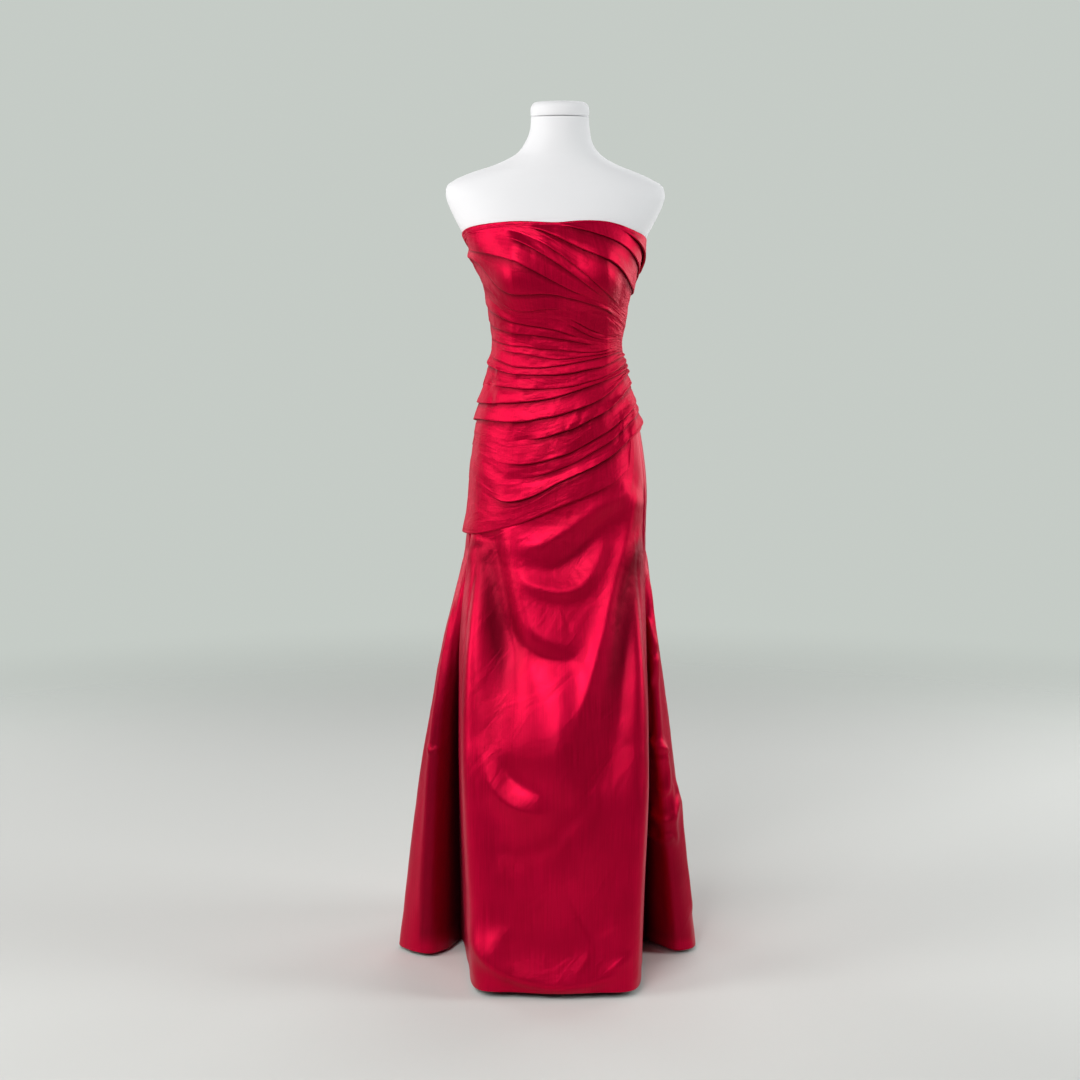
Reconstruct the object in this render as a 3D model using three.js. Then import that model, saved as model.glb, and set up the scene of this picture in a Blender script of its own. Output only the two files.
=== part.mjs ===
import * as THREE from 'three';

// A strapless evening gown of pleated satin on a limbless dress form with its stand.
// Millimetres, +Z up. The gown faces -Y, its wearer's left is +X, and the origin is the
// middle of the stand's underside. Angles run round the body from the front towards +X.

// Driving sizes
const WALL = 1.8; // satin with its underlining
const EASE = 1.5; // air between the form and the cloth that lies on it
const SEAM = 0.3; // gap between two pieces at a seam
const LAP = 28; // how far the skirt runs up under the bodice's lower edge
const LAP_AIR = 1; // air between the skirt's top and the bodice over it
const SIDE_SEAM = 95; // angle of the bodice's side seams, in degrees
const HIP_HEIGHT = 762; // below this the skirt leaves the body
const KNEE_HEIGHT = 420;
const HEM_HEIGHT = 8; // hem above the floor
const HEM_RISE = 4; // the front of the hem is this much higher
const BASE_RADIUS = 140;
const BASE_THICK = 6;
const POLE_RADIUS = 12.5;
const DEGREE = Math.PI / 180;

// The body that the form and the bodice share: a rounded section at each height, with its
// half width, its depth to the front and to the back, how square it is (2 = ellipse), and
// the place of its middle across.
const bodyRows = [
  { z: 712, half: 139, front: 92, back: 108, square: 2.2, middle: 0 },
  { z: 760, half: 147, front: 97, back: 116, square: 2.2, middle: 0 },
  { z: 820, half: 152, front: 100, back: 120, square: 2.2, middle: 1 },
  { z: 870, half: 151, front: 100, back: 119, square: 2.2, middle: 1 },
  { z: 930, half: 143, front: 96, back: 112, square: 2.2, middle: 1 },
  { z: 980, half: 134, front: 90, back: 101, square: 2.2, middle: 0 },
  { z: 1030, half: 122, front: 83, back: 89, square: 2.15, middle: 0 },
  { z: 1092, half: 108, front: 78, back: 80, square: 2.1, middle: 0 },
  { z: 1130, half: 113, front: 82, back: 84, square: 2.1, middle: 2 },
  { z: 1175, half: 121, front: 94, back: 92, square: 2.2, middle: 2 },
  { z: 1210, half: 131, front: 104, back: 98, square: 2.3, middle: 2 },
  { z: 1245, half: 144, front: 106, back: 101, square: 2.3, middle: 0 },
  { z: 1278, half: 157, front: 100, back: 101, square: 2.3, middle: -2 },
  { z: 1310, half: 174, front: 90, back: 98, square: 2.2, middle: -2 },
  { z: 1340, half: 187, front: 78, back: 91, square: 2.1, middle: -2 },
  { z: 1354, half: 188, front: 72, back: 87, square: 2.1, middle: -3 },
  { z: 1366, half: 184, front: 67, back: 83, square: 2, middle: -4 },
  { z: 1377, half: 167, front: 62, back: 80, square: 2, middle: -6 },
  { z: 1389, half: 139, front: 58, back: 76, square: 2, middle: -5 },
  { z: 1399, half: 110, front: 55, back: 73, square: 2, middle: -2 },
  { z: 1409, half: 88, front: 52, back: 70, square: 2, middle: 0 },
  { z: 1420, half: 71, front: 49, back: 67, square: 2, middle: 2 },
  { z: 1437, half: 58.5, front: 46, back: 62, square: 2, middle: 3 },
  { z: 1458, half: 51.5, front: 44, back: 57, square: 2, middle: 5 },
  { z: 1482, half: 49.5, front: 43, back: 54, square: 2, middle: 5 },
];
const BUST = { height: 1206, angle: 35, rise: 13, wide: 17, tall: 42 }; // angle and wide in degrees
const BODY_PROBE = { angle: 0.5, z: 1 }; // steps across and up for the direction out of the body

// Smooth curve through one named column of a table, by the column that orders it.
function curve(rows, key, column) {
  const last = rows.length - 1;
  const slope = rows.map((row, i) => {
    const before = rows[Math.max(i - 1, 0)];
    const after = rows[Math.min(i + 1, last)];
    return (after[column] - before[column]) / (after[key] - before[key]);
  });
  return (at) => {
    if (at <= rows[0][key]) return rows[0][column];
    if (at >= rows[last][key]) return rows[last][column];
    let i = 0;
    while (rows[i + 1][key] < at) i++;
    const span = rows[i + 1][key] - rows[i][key];
    const t = (at - rows[i][key]) / span;
    const keep = (1 + 2 * t) * (1 - t) * (1 - t);
    const leave = t * (1 - t) * (1 - t) * span;
    const arrive = t * t * (t - 1) * span;
    return keep * rows[i][column] + (1 - keep) * rows[i + 1][column]
      + leave * slope[i] + arrive * slope[i + 1];
  };
}

// 0 before the first value, 1 after the second, smooth between.
function step(at, first, second) {
  const t = Math.min(Math.max((at - first) / (second - first), 0), 1);
  return t * t * (3 - 2 * t);
}

const bodyHalf = curve(bodyRows, 'z', 'half');
const bodyFront = curve(bodyRows, 'z', 'front');
const bodyBack = curve(bodyRows, 'z', 'back');
const bodySquare = curve(bodyRows, 'z', 'square');
const bodyMiddle = curve(bodyRows, 'z', 'middle');

// The body's surface at an angle in degrees and a height.
function bodySurface(angle, z) {
  const turn = angle * DEGREE;
  const side = Math.abs(Math.sin(turn)) / bodyHalf(z);
  const ahead = Math.cos(turn);
  const depth = Math.abs(ahead) / (ahead > 0 ? bodyFront(z) : bodyBack(z));
  const power = bodySquare(z);
  const round = (side ** power + depth ** power) ** (-1 / power);
  const high = ((z - BUST.height) / BUST.tall) ** 2;
  const leftBust = Math.exp(-(((angle - BUST.angle) / BUST.wide) ** 2) - high);
  const rightBust = Math.exp(-(((angle + BUST.angle) / BUST.wide) ** 2) - high);
  const reach = round + BUST.rise * (leftBust + rightBust);
  return new THREE.Vector3(bodyMiddle(z) + reach * Math.sin(turn), -reach * ahead, z);
}

// A surface's outward direction, from two near points each way.
function outward(surface, a, b, stepA, stepB) {
  const along = surface(a + stepA, b).sub(surface(a - stepA, b));
  const up = surface(a, b + stepB).sub(surface(a, b - stepB));
  return along.cross(up).normalize();
}

function bodyPoint(angle, z, out) {
  const normal = outward(bodySurface, angle, z, BODY_PROBE.angle, BODY_PROBE.z);
  return bodySurface(angle, z).addScaledVector(normal, out);
}

// Bodice: each pleat is the line of a fold that crosses the front from the right side seam
// (-X) to the left one. Heights are at seven angles round the body; depth is how far the fold
// above the line stands out, between two angles.
const STATIONS = [-95, -71, -44, 0, 44, 71, 95];
const pleats = [
  { name: 'neckline', at: [1272, 1293, 1302, 1301, 1303, 1283, 1264], depth: 0, from: -95, to: 95 },
  { name: 'armhole fold', at: [1276, 1292, 1300, 1299, 1300, 1262, 1216], depth: 8, from: 52, to: 110 },
  { name: 'bust fold 1', at: [1274, 1290, 1298, 1297, 1275, 1236, 1198], depth: 6, from: 0, to: 110 },
  { name: 'bust fold 2', at: [1271, 1287, 1296, 1277, 1231, 1196, 1178], depth: 7, from: -30, to: 110 },
  { name: 'bust fold 3', at: [1268, 1285, 1290, 1252, 1182, 1157, 1142], depth: 6, from: -20, to: 60 },
  { name: 'bust fold 4', at: [1264, 1281, 1277, 1233, 1174, 1148, 1132], depth: 6, from: -44, to: 40 },
  { name: 'bust fold 5', at: [1259, 1256, 1243, 1200, 1167, 1140, 1123], depth: 5, from: -85, to: 28 },
  { name: 'under-bust 1', at: [1253, 1238, 1194, 1182, 1161, 1131, 1115], depth: 8, from: -110, to: 62 },
  { name: 'under-bust 2', at: [1246, 1205, 1161, 1158, 1146, 1121, 1108], depth: 6, from: -110, to: 5 },
  { name: 'fan pleat 1', at: [1220, 1190, 1155, 1149, 1119, 1111, 1103], depth: 4, from: 8, to: 55 },
  { name: 'fan pleat 2', at: [1195, 1174, 1148, 1139, 1108, 1105, 1099], depth: 4, from: 8, to: 55 },
  { name: 'midriff 1', at: [1172, 1153, 1136, 1121, 1102, 1100, 1095], depth: 5, from: -110, to: 28 },
  { name: 'midriff 2', at: [1140, 1125, 1116, 1108, 1096, 1096, 1091], depth: 4, from: -110, to: 45 },
  { name: 'waist fold 1', at: [1110, 1101, 1093, 1088, 1084, 1091, 1087], depth: 4, from: -85, to: 65 },
  { name: 'waist fold 2', at: [1095, 1088, 1081, 1072, 1078, 1086, 1083], depth: 4, from: -65, to: 65 },
  { name: 'waist fold 3', at: [1079, 1071, 1057, 1060, 1072, 1081, 1079], depth: 5, from: -80, to: 85 },
  { name: 'waist fold 4', at: [1062, 1053, 1045, 1046, 1056, 1070, 1074], depth: 7, from: -110, to: 110 },
  { name: 'hip fold 1', at: [1030, 1025, 1021, 1023, 1036, 1055, 1066], depth: 5, from: -70, to: 110 },
  { name: 'hip fold 2', at: [990, 993, 996, 1008, 1030, 1046, 1057], depth: 8, from: -110, to: 110 },
  { name: 'hip fold 3', at: [960, 966, 964, 977, 1003, 1036, 1046], depth: 8, from: -110, to: 110 },
  { name: 'hip fold 4', at: [944, 941, 932, 946, 978, 1014, 1028], depth: 8, from: -30, to: 110 },
  { name: 'hip fold 5', at: [925, 914, 893, 906, 945, 980, 1000], depth: 8, from: -50, to: 110 },
  { name: 'hip fold 6', at: [900, 885, 868, 885, 927, 966, 984], depth: 5, from: -30, to: 110 },
  { name: 'hip fold 7', at: [862, 848, 829, 862, 903, 944, 961], depth: 9, from: -60, to: 110 },
  { name: 'lower edge', at: [767, 770, 785, 821, 857, 899, 912], depth: 6, from: -110, to: 64 },
];
const LEAST_GAP = 2.2; // the least height between two fold lines where they run together
const FADE = 14; // degrees over which a fold dies away
const EDGE_STEP = { first: 60, second: 66, rise: 40 }; // the lower edge jumps up to the side panel
const FOLD_SHARES = [0, 0.45, 0.8]; // rows in each fold, from its upper line down
const SMALL_FOLD_SHARES = [0, 0.7]; // rows in a fold of little depth
const SMALL_FOLD = 4; // a fold is small up to this depth
const FOLD_STEEP = 0.42; // a fold's greatest depth beside its height
const SWELL_POWER = 1.8; // how low down a fold its crest lies

for (const pleat of pleats) {
  const rows = STATIONS.map((angle, i) => ({ angle, z: pleat.at[i] }));
  pleat.line = curve(rows, 'angle', 'z');
}

// Heights of all the fold lines at one angle, kept apart where they converge.
function pleatHeights(angle) {
  const heights = [];
  for (const pleat of pleats) {
    let z = pleat.line(angle);
    if (pleat.name === 'lower edge') {
      z += EDGE_STEP.rise * step(angle, EDGE_STEP.first, EDGE_STEP.second);
    }
    if (heights.length > 0) z = Math.min(z, heights[heights.length - 1] - LEAST_GAP);
    heights.push(z);
  }
  return heights;
}

// Across one fold the cloth swells to a crest in the lower part and drops into the line.
function swell(share) {
  return Math.sin(Math.PI * share ** SWELL_POWER);
}

// Princess seams: a soft upright ridge on each side of the front, between the waist and the
// neckline.
const princessSeams = [
  { x: -72, rise: 3.5, wide: 20 },
  { x: 80, rise: 3.5, wide: 20 },
];

const PRINCESS_SPAN = { foot: 1000, full: 1080, shoulder: 1250, top: 1290 };
function princess(angle, z) {
  if (Math.abs(angle) > 90) return 0;
  const { x } = bodySurface(angle, z);
  const rising = step(z, PRINCESS_SPAN.foot, PRINCESS_SPAN.full);
  const fade = rising * (1 - step(z, PRINCESS_SPAN.shoulder, PRINCESS_SPAN.top));
  let rise = 0;
  for (const seam of princessSeams) rise += seam.rise * Math.exp(-Math.abs(x - seam.x) / seam.wide);
  return rise * fade;
}

// Height of the bodice's lower edge all round: the front's table, then round the back.
const BACK_EDGE = 838; // at the zip
function lowerEdge(anyAngle) {
  const angle = wrapAngle(anyAngle);
  if (Math.abs(angle) <= SIDE_SEAM) return pleatHeights(angle)[pleats.length - 1];
  const side = pleatHeights(Math.sign(angle) * SIDE_SEAM)[pleats.length - 1];
  const round = step(Math.abs(angle), SIDE_SEAM, 180);
  return side + (BACK_EDGE - side) * round;
}

const LEAST_TOP = 4; // the skirt's top is at least this far above the hip
function skirtTop(angle) {
  return Math.max(lowerEdge(angle) + LAP, HIP_HEIGHT + LEAST_TOP);
}

// The bodice stands off the body by its ease, by a little more over the bust, and by the
// skirt's wall where the skirt's top lies under it.
const CUP = { ease: 0.8, foot: 1150, full: 1200, shoulder: 1262, top: 1290, side: 75, end: 92 };
const LAP_FADE = { near: 2, far: 26, aside: 5 }; // heights over the skirt's top; degrees aside
function bodiceOut(angle, z) {
  const tops = [-LAP_FADE.aside, 0, LAP_FADE.aside].map((aside) => skirtTop(angle + aside));
  const top = Math.max(...tops);
  const overBust = step(z, CUP.foot, CUP.full) * (1 - step(z, CUP.shoulder, CUP.top));
  const cup = CUP.ease * overBust * (1 - step(Math.abs(angle), CUP.side, CUP.end));
  const flick = flickAt(angle) * (1 - step(z, lowerEdge(angle), lowerEdge(angle) + FLICK.height));
  const lap = (WALL + LAP_AIR) * (1 - step(z, top + LAP_FADE.near, top + LAP_FADE.far));
  return EASE + cup + flick + lap;
}

// The lower edge stands off the skirt, most of all at the right side seam.
const FLICK = { all: 2, side: 6, wide: 26, height: 34 }; // wide in degrees
function flickAt(angle) {
  return FLICK.all + FLICK.side * Math.exp(-(((angle + SIDE_SEAM) / FLICK.wide) ** 2));
}

// A closed wall from a grid of outer and inner points, rows from the top down.
function wall(outer, inner) {
  const rows = outer.length;
  const columns = outer[0].length;
  const points = [...outer.flat(), ...inner.flat()];
  const index = [];
  const quad = (a, b, c, d) => index.push(a, b, c, a, c, d);
  const at = (i, j) => i * columns + j;
  const back = rows * columns;
  for (let i = 0; i < rows - 1; i++) {
    for (let j = 0; j < columns - 1; j++) {
      quad(at(i, j), at(i + 1, j), at(i + 1, j + 1), at(i, j + 1));
      quad(back + at(i, j), back + at(i, j + 1), back + at(i + 1, j + 1), back + at(i + 1, j));
    }
    quad(at(i, 0), back + at(i, 0), back + at(i + 1, 0), at(i + 1, 0));
    const j = columns - 1;
    quad(at(i, j), at(i + 1, j), back + at(i + 1, j), back + at(i, j));
  }
  for (let j = 0; j < columns - 1; j++) {
    quad(at(0, j), at(0, j + 1), back + at(0, j + 1), back + at(0, j));
    const i = rows - 1;
    quad(at(i, j), back + at(i, j), back + at(i, j + 1), at(i, j + 1));
  }
  return solid(points, index);
}

// A closed solid from rings of points, rows from the top down, with flat ends.
function loft(rings) {
  const count = rings[0].length;
  const points = rings.flat();
  const index = [];
  for (let i = 0; i < rings.length - 1; i++) {
    for (let j = 0; j < count; j++) {
      const next = (j + 1) % count;
      const [a, b] = [i * count + j, i * count + next];
      index.push(a, a + count, b + count, a, b + count, b);
    }
  }
  const bottom = (rings.length - 1) * count;
  for (let j = 1; j < count - 1; j++) {
    index.push(0, j, j + 1);
    index.push(bottom, bottom + j + 1, bottom + j);
  }
  return solid(points, index);
}

function solid(points, index) {
  const geometry = new THREE.BufferGeometry();
  geometry.setAttribute('position', new THREE.Float32BufferAttribute(points.flatMap((p) => p.toArray()), 3));
  geometry.setIndex(index);
  geometry.computeVertexNormals();
  return geometry;
}

// Materials
const satin = new THREE.MeshStandardMaterial({ color: 0xb8122c, roughness: 0.38, metalness: 0 });
const jersey = new THREE.MeshStandardMaterial({ color: 0xf0f0f2, roughness: 0.8, metalness: 0 });
const steel = new THREE.MeshStandardMaterial({ color: 0x8d8f92, roughness: 0.35, metalness: 1 });
const enamel = new THREE.MeshStandardMaterial({ color: 0x8c1226, roughness: 0.4, metalness: 0.3 });

const gown = new THREE.Group();
function add(name, geometry, material, parent = gown) {
  const mesh = new THREE.Mesh(geometry, material);
  mesh.name = name;
  parent.add(mesh);
  return mesh;
}

// Dress form: torso with short shoulders and neck, and a cap on the neck
const FRONT_COLUMNS = 18;
const BACK_COLUMNS = 8;
const bodyAngles = []; // once round, from one side seam to itself
for (let j = 0; j < FRONT_COLUMNS; j++) bodyAngles.push(SIDE_SEAM * ((2 * j) / FRONT_COLUMNS - 1));
for (let j = 0; j < 2 * BACK_COLUMNS; j++) {
  bodyAngles.push(SIDE_SEAM + ((180 - SIDE_SEAM) * j) / BACK_COLUMNS);
}
const formLevels = [
  1482, 1460, 1440, 1424, 1410, 1400, 1390, 1380, 1370, 1362, 1350, 1330, 1304, 1274, 1250, 1226,
  1200, 1172, 1146, 1118, 1092, 1064, 1030, 990, 945, 890, 840, 780, 724, 714,
];
function formRing(z, shrink) {
  return bodyAngles.map((angle) => bodyPoint(wrapAngle(angle), z, -shrink));
}
const FORM_BOTTOM = 712;
const FORM_CHAMFER = { in: 8, up: 2 }; // round the form's underside
const bottomRing = formRing(FORM_BOTTOM + FORM_CHAMFER.up, FORM_CHAMFER.in).map((p) => p.setZ(FORM_BOTTOM));
add('form_torso', loft([...formLevels.map((z) => formRing(z, 0)), bottomRing]), jersey);

const NECK_TOP = 1482;
const CAP_HEIGHT = 25;
const CAP_EDGE = 10; // radius of the cap's rounded rim
const CAP_STEPS = 4;
function capRing(height, inset) {
  return bodyAngles.map((angle) => bodyPoint(wrapAngle(angle), NECK_TOP, -inset).setZ(NECK_TOP + height));
}
const capRings = [];
for (let k = 0; k <= CAP_STEPS; k++) {
  const turn = (Math.PI / 2) * (k / CAP_STEPS);
  capRings.push(capRing(CAP_HEIGHT - CAP_EDGE * (1 - Math.cos(turn)), CAP_EDGE * (1 - Math.sin(turn))));
}
capRings.push(capRing(SEAM, 0));
add('form_neck_cap', loft(capRings), jersey);

// Stand: a round plate on the floor, and a pole up into the torso
const BASE_CHAMFER = { foot: 1, top: 2 };
const SOCKET = { foot: 24, top: 21, height: 18, chamfer: 2 }; // foot and top are radii
const baseProfile = [
  new THREE.Vector2(0, 0),
  new THREE.Vector2(BASE_RADIUS - BASE_CHAMFER.foot, 0),
  new THREE.Vector2(BASE_RADIUS, BASE_CHAMFER.foot),
  new THREE.Vector2(BASE_RADIUS, BASE_THICK - BASE_CHAMFER.top),
  new THREE.Vector2(BASE_RADIUS - BASE_CHAMFER.top, BASE_THICK),
  new THREE.Vector2(SOCKET.foot, BASE_THICK),
  new THREE.Vector2(SOCKET.top, BASE_THICK + SOCKET.height - SOCKET.chamfer),
  new THREE.Vector2(POLE_RADIUS + SEAM, BASE_THICK + SOCKET.height),
  new THREE.Vector2(POLE_RADIUS + SEAM, BASE_THICK),
  new THREE.Vector2(0, BASE_THICK),
];
const standAxis = new THREE.Group();
standAxis.rotation.x = Math.PI / 2;
gown.add(standAxis);
const BASE_SIDES = 32;
const POLE_SIDES = 20;
add('stand_base', new THREE.LatheGeometry(baseProfile, BASE_SIDES), steel, standAxis);
const poleLength = FORM_BOTTOM - BASE_THICK - 2 * SEAM;
const tube = new THREE.CylinderGeometry(POLE_RADIUS, POLE_RADIUS, poleLength, POLE_SIDES);
const pole = add('stand_pole', tube, steel, standAxis);
pole.position.y = BASE_THICK + SEAM + poleLength / 2;

// Bodice front: one draped piece, with rows that follow its folds
const SEAM_ANGLE = 0.07; // half a seam's gap as degrees round the body
const frontAngles = [];
for (let j = 0; j <= FRONT_COLUMNS; j++) {
  frontAngles.push((SIDE_SEAM - SEAM_ANGLE) * ((2 * j) / FRONT_COLUMNS - 1));
}
function foldOut(pleat, angle, gap) {
  const shown = step(angle, pleat.from, pleat.from + FADE) * (1 - step(angle, pleat.to - FADE, pleat.to));
  return Math.min(pleat.depth, FOLD_STEEP * gap) * shown;
}
const EDGE_ROW = 0.97; // a last row just above the lower edge
const frontOuter = [];
const frontInner = [];
function frontRow(k, share) {
  const outer = [];
  const inner = [];
  for (const angle of frontAngles) {
    const heights = pleatHeights(angle);
    const upper = heights[k];
    const lower = k + 1 < heights.length ? heights[k + 1] : upper;
    const z = upper + (lower - upper) * share;
    const out = bodiceOut(angle, z);
    const relief = share > 0 ? foldOut(pleats[k + 1], angle, upper - lower) * swell(share) : 0;
    inner.push(bodyPoint(angle, z, out));
    outer.push(bodyPoint(angle, z, out + WALL + relief + princess(angle, z)));
  }
  frontOuter.push(outer);
  frontInner.push(inner);
}
for (let k = 0; k < pleats.length - 1; k++) {
  const shares = pleats[k + 1].depth > SMALL_FOLD ? FOLD_SHARES : SMALL_FOLD_SHARES;
  for (const share of shares) frontRow(k, share);
}
frontRow(pleats.length - 2, EDGE_ROW);
frontRow(pleats.length - 1, 0);
add('bodice_front', wall(frontOuter, frontInner), satin);

// Bodice back: two pieces that meet at the zip, with folds drawn towards it
const BACK_FOLDS = 10;
const BACK_NECKLINE = 1252; // at the zip
const BACK_DEPTH = 5; // of each fold
const BACK_SAG = 10; // of each fold's line between the side seam and the zip
const ZIP_PLAIN = 12; // degrees beside the zip without relief
function backHeight(side, share, line) {
  const sideHeights = pleatHeights(side * SIDE_SEAM);
  const top = sideHeights[0];
  const bottom = sideHeights[sideHeights.length - 1];
  const atSide = top + (bottom - top) * line;
  const atZip = BACK_NECKLINE + (BACK_EDGE - BACK_NECKLINE) * line;
  const sag = BACK_SAG * Math.sin(Math.PI * share) * Math.sin(Math.PI * line);
  return atSide + (atZip - atSide) * step(share, 0, 1) - sag;
}
function backPiece(side) {
  const outerRows = [];
  const innerRows = [];
  const row = (line, relief) => {
    const outer = [];
    const inner = [];
    for (let j = 0; j <= BACK_COLUMNS; j++) {
      const share = side > 0 ? j / BACK_COLUMNS : 1 - j / BACK_COLUMNS;
      const from = SIDE_SEAM + SEAM_ANGLE;
      const round = from + (180 - SEAM_ANGLE - from) * share;
      const z = backHeight(side, share, line);
      const out = bodiceOut(side * round, z);
      const plain = 1 - step(round, 180 - 2 * ZIP_PLAIN, 180 - ZIP_PLAIN);
      inner.push(bodyPoint(side * round, z, out));
      outer.push(bodyPoint(side * round, z, out + WALL + relief * plain));
    }
    outerRows.push(outer);
    innerRows.push(inner);
  };
  for (let k = 0; k < BACK_FOLDS; k++) {
    for (const share of FOLD_SHARES) row((k + share) / BACK_FOLDS, BACK_DEPTH * swell(share));
  }
  row(1, 0);
  return wall(outerRows, innerRows);
}
add('bodice_back_left', backPiece(1), satin);
add('bodice_back_right', backPiece(-1), satin);

// Zip: a concealed one down the back seam, of which the slider's bridge and the pull show.
// The slider stays near the top; the pull swings on its bar through the bridge.
const ZIP_HEIGHT = 1238;
const SLIDER = { wide: 4, thick: 2.2, half: 5, bridge: 2.5, tunnel: 1.3, out: 3.9, up: 1.5 };
const PULL = { half: 4.2, thick: 1.4, corner: 1, shoulder: 8, length: 24, tip: 3.4 };
const PULL_WINDOW = { half: 2.7, foot: 6 };
const ARC_SIDES = { slider: 9, pull: 12 };
const sliderBack = bodyPoint(180, ZIP_HEIGHT + SLIDER.half, EASE + WALL).y + SEAM;
const zip = new THREE.Group();
zip.position.set(0, sliderBack, ZIP_HEIGHT);
gown.add(zip);

// An outline drawn in the upright plane through the zip, front to back and up, made wide.
function acrossZip(shape, wide) {
  const settings = { depth: wide, bevelEnabled: false, curveSegments: ARC_SIDES.slider };
  const geometry = new THREE.ExtrudeGeometry(shape, settings);
  geometry.translate(0, 0, -wide / 2);
  const turned = new THREE.Matrix4().makeBasis(
    new THREE.Vector3(0, 1, 0), new THREE.Vector3(0, 0, 1), new THREE.Vector3(1, 0, 0),
  );
  return geometry.applyMatrix4(turned);
}
const bridgeTurn = Math.acos((SLIDER.out - SLIDER.thick) / SLIDER.bridge);
const sliderShape = new THREE.Shape();
sliderShape.moveTo(0, -SLIDER.half);
sliderShape.lineTo(SLIDER.thick, -SLIDER.half);
sliderShape.absarc(SLIDER.out, SLIDER.up, SLIDER.bridge, Math.PI + bridgeTurn, 3 * Math.PI - bridgeTurn);
sliderShape.lineTo(SLIDER.thick, SLIDER.half);
sliderShape.lineTo(0, SLIDER.half);
const tunnel = new THREE.Path();
tunnel.absarc(SLIDER.out, SLIDER.up, SLIDER.tunnel, 0, 2 * Math.PI);
sliderShape.holes.push(tunnel);
add('zip_slider', acrossZip(sliderShape, SLIDER.wide), enamel, zip);

// The pull: a flat drop with a window at its top, whose upper bar runs through the bridge.
const pullShape = new THREE.Shape();
const bar = PULL.thick / 2;
pullShape.moveTo(-PULL.half + PULL.corner, bar);
pullShape.lineTo(-PULL.half, bar - PULL.corner);
pullShape.lineTo(-PULL.half, -PULL.shoulder);
pullShape.absarc(0, -PULL.length + PULL.tip, PULL.tip, Math.PI, 2 * Math.PI);
pullShape.lineTo(PULL.half, -PULL.shoulder);
pullShape.lineTo(PULL.half, bar - PULL.corner);
pullShape.lineTo(PULL.half - PULL.corner, bar);
const pullWindow = new THREE.Path();
pullWindow.moveTo(-PULL_WINDOW.half, -bar);
pullWindow.lineTo(PULL_WINDOW.half, -bar);
pullWindow.lineTo(PULL_WINDOW.half, -PULL_WINDOW.foot);
pullWindow.lineTo(-PULL_WINDOW.half, -PULL_WINDOW.foot);
pullShape.holes.push(pullWindow);
const pullSettings = { depth: PULL.thick, bevelEnabled: false, curveSegments: ARC_SIDES.pull };
const pullGeometry = new THREE.ExtrudeGeometry(pullShape, pullSettings);
pullGeometry.translate(0, 0, -PULL.thick / 2);
pullGeometry.rotateX(Math.PI / 2);
const pull = add('zip_pull', pullGeometry, enamel, zip);
pull.position.set(0, SLIDER.out, SLIDER.up);

// Skirt: each rib is the crest or the valley of a fold, from an angle at the hip down to its
// place in plan at the knee and at the hem.
const ribs = [
  { rib: 'back crest right', hip: -152, kneeX: -92, kneeY: 176, hemX: -112, hemY: 252 },
  { rib: 'back valley right', hip: -140, kneeX: -128, kneeY: 140, hemX: -156, hemY: 188 },
  { rib: 'hip crest right', hip: -127, kneeX: -172, kneeY: 122, hemX: -220, hemY: 172 },
  { rib: 'hip valley right', hip: -115, kneeX: -190, kneeY: 76, hemX: -226, hemY: 102 },
  { rib: 'side back right', hip: -106, kneeX: -214, kneeY: 44, hemX: -266, hemY: 62 },
  { rib: 'side corner right', hip: -99, kneeX: -226, kneeY: -2, hemX: -281, hemY: 8 },
  { rib: 'lobe right', hip: -91, kneeX: -207, kneeY: -38, hemX: -228, hemY: -36 },
  { rib: 'lobe inner right', hip: -85, kneeX: -188, kneeY: -30, hemX: -196, hemY: -8 },
  { rib: 'deep valley right', hip: -79, kneeX: -169, kneeY: -14, hemX: -172, hemY: 44 },
  { rib: 'panel side right', hip: -70, kneeX: -156, kneeY: -90, hemX: -153, hemY: -84 },
  { rib: 'panel corner right', hip: -57, kneeX: -138, kneeY: -156, hemX: -130, hemY: -230 },
  { rib: 'panel right', hip: -30, kneeX: -74, kneeY: -174, hemX: -70, hemY: -240 },
  { rib: 'panel middle', hip: 0, kneeX: 0, kneeY: -178, hemX: 0, hemY: -243 },
  { rib: 'panel left', hip: 28, kneeX: 70, kneeY: -174, hemX: 66, hemY: -242 },
  { rib: 'panel corner left', hip: 55, kneeX: 131, kneeY: -158, hemX: 126, hemY: -234 },
  { rib: 'panel side left', hip: 68, kneeX: 147, kneeY: -92, hemX: 148, hemY: -92 },
  { rib: 'deep valley left', hip: 78, kneeX: 151, kneeY: -12, hemX: 159, hemY: 38 },
  { rib: 'lobe inner left', hip: 84, kneeX: 166, kneeY: -22, hemX: 188, hemY: 12 },
  { rib: 'lobe left', hip: 90, kneeX: 180, kneeY: -26, hemX: 216, hemY: -20 },
  { rib: 'side corner left', hip: 97, kneeX: 196, kneeY: -2, hemX: 244, hemY: -6 },
  { rib: 'side back left', hip: 104, kneeX: 198, kneeY: 42, hemX: 248, hemY: 48 },
  { rib: 'hip valley left', hip: 113, kneeX: 178, kneeY: 70, hemX: 210, hemY: 94 },
  { rib: 'hip crest left', hip: 125, kneeX: 166, kneeY: 118, hemX: 206, hemY: 166 },
  { rib: 'back valley left', hip: 139, kneeX: 124, kneeY: 136, hemX: 150, hemY: 184 },
  { rib: 'back crest left', hip: 151, kneeX: 94, kneeY: 176, hemX: 116, hemY: 250 },
  { rib: 'zip valley left', hip: 165, kneeX: 44, kneeY: 164, hemX: 54, hemY: 220 },
  { rib: 'zip crest', hip: 180, kneeX: 2, kneeY: 186, hemX: 2, hemY: 264 },
  { rib: 'zip valley right', hip: 194, kneeX: -44, kneeY: 164, hemX: -50, hemY: 220 },
];

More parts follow.
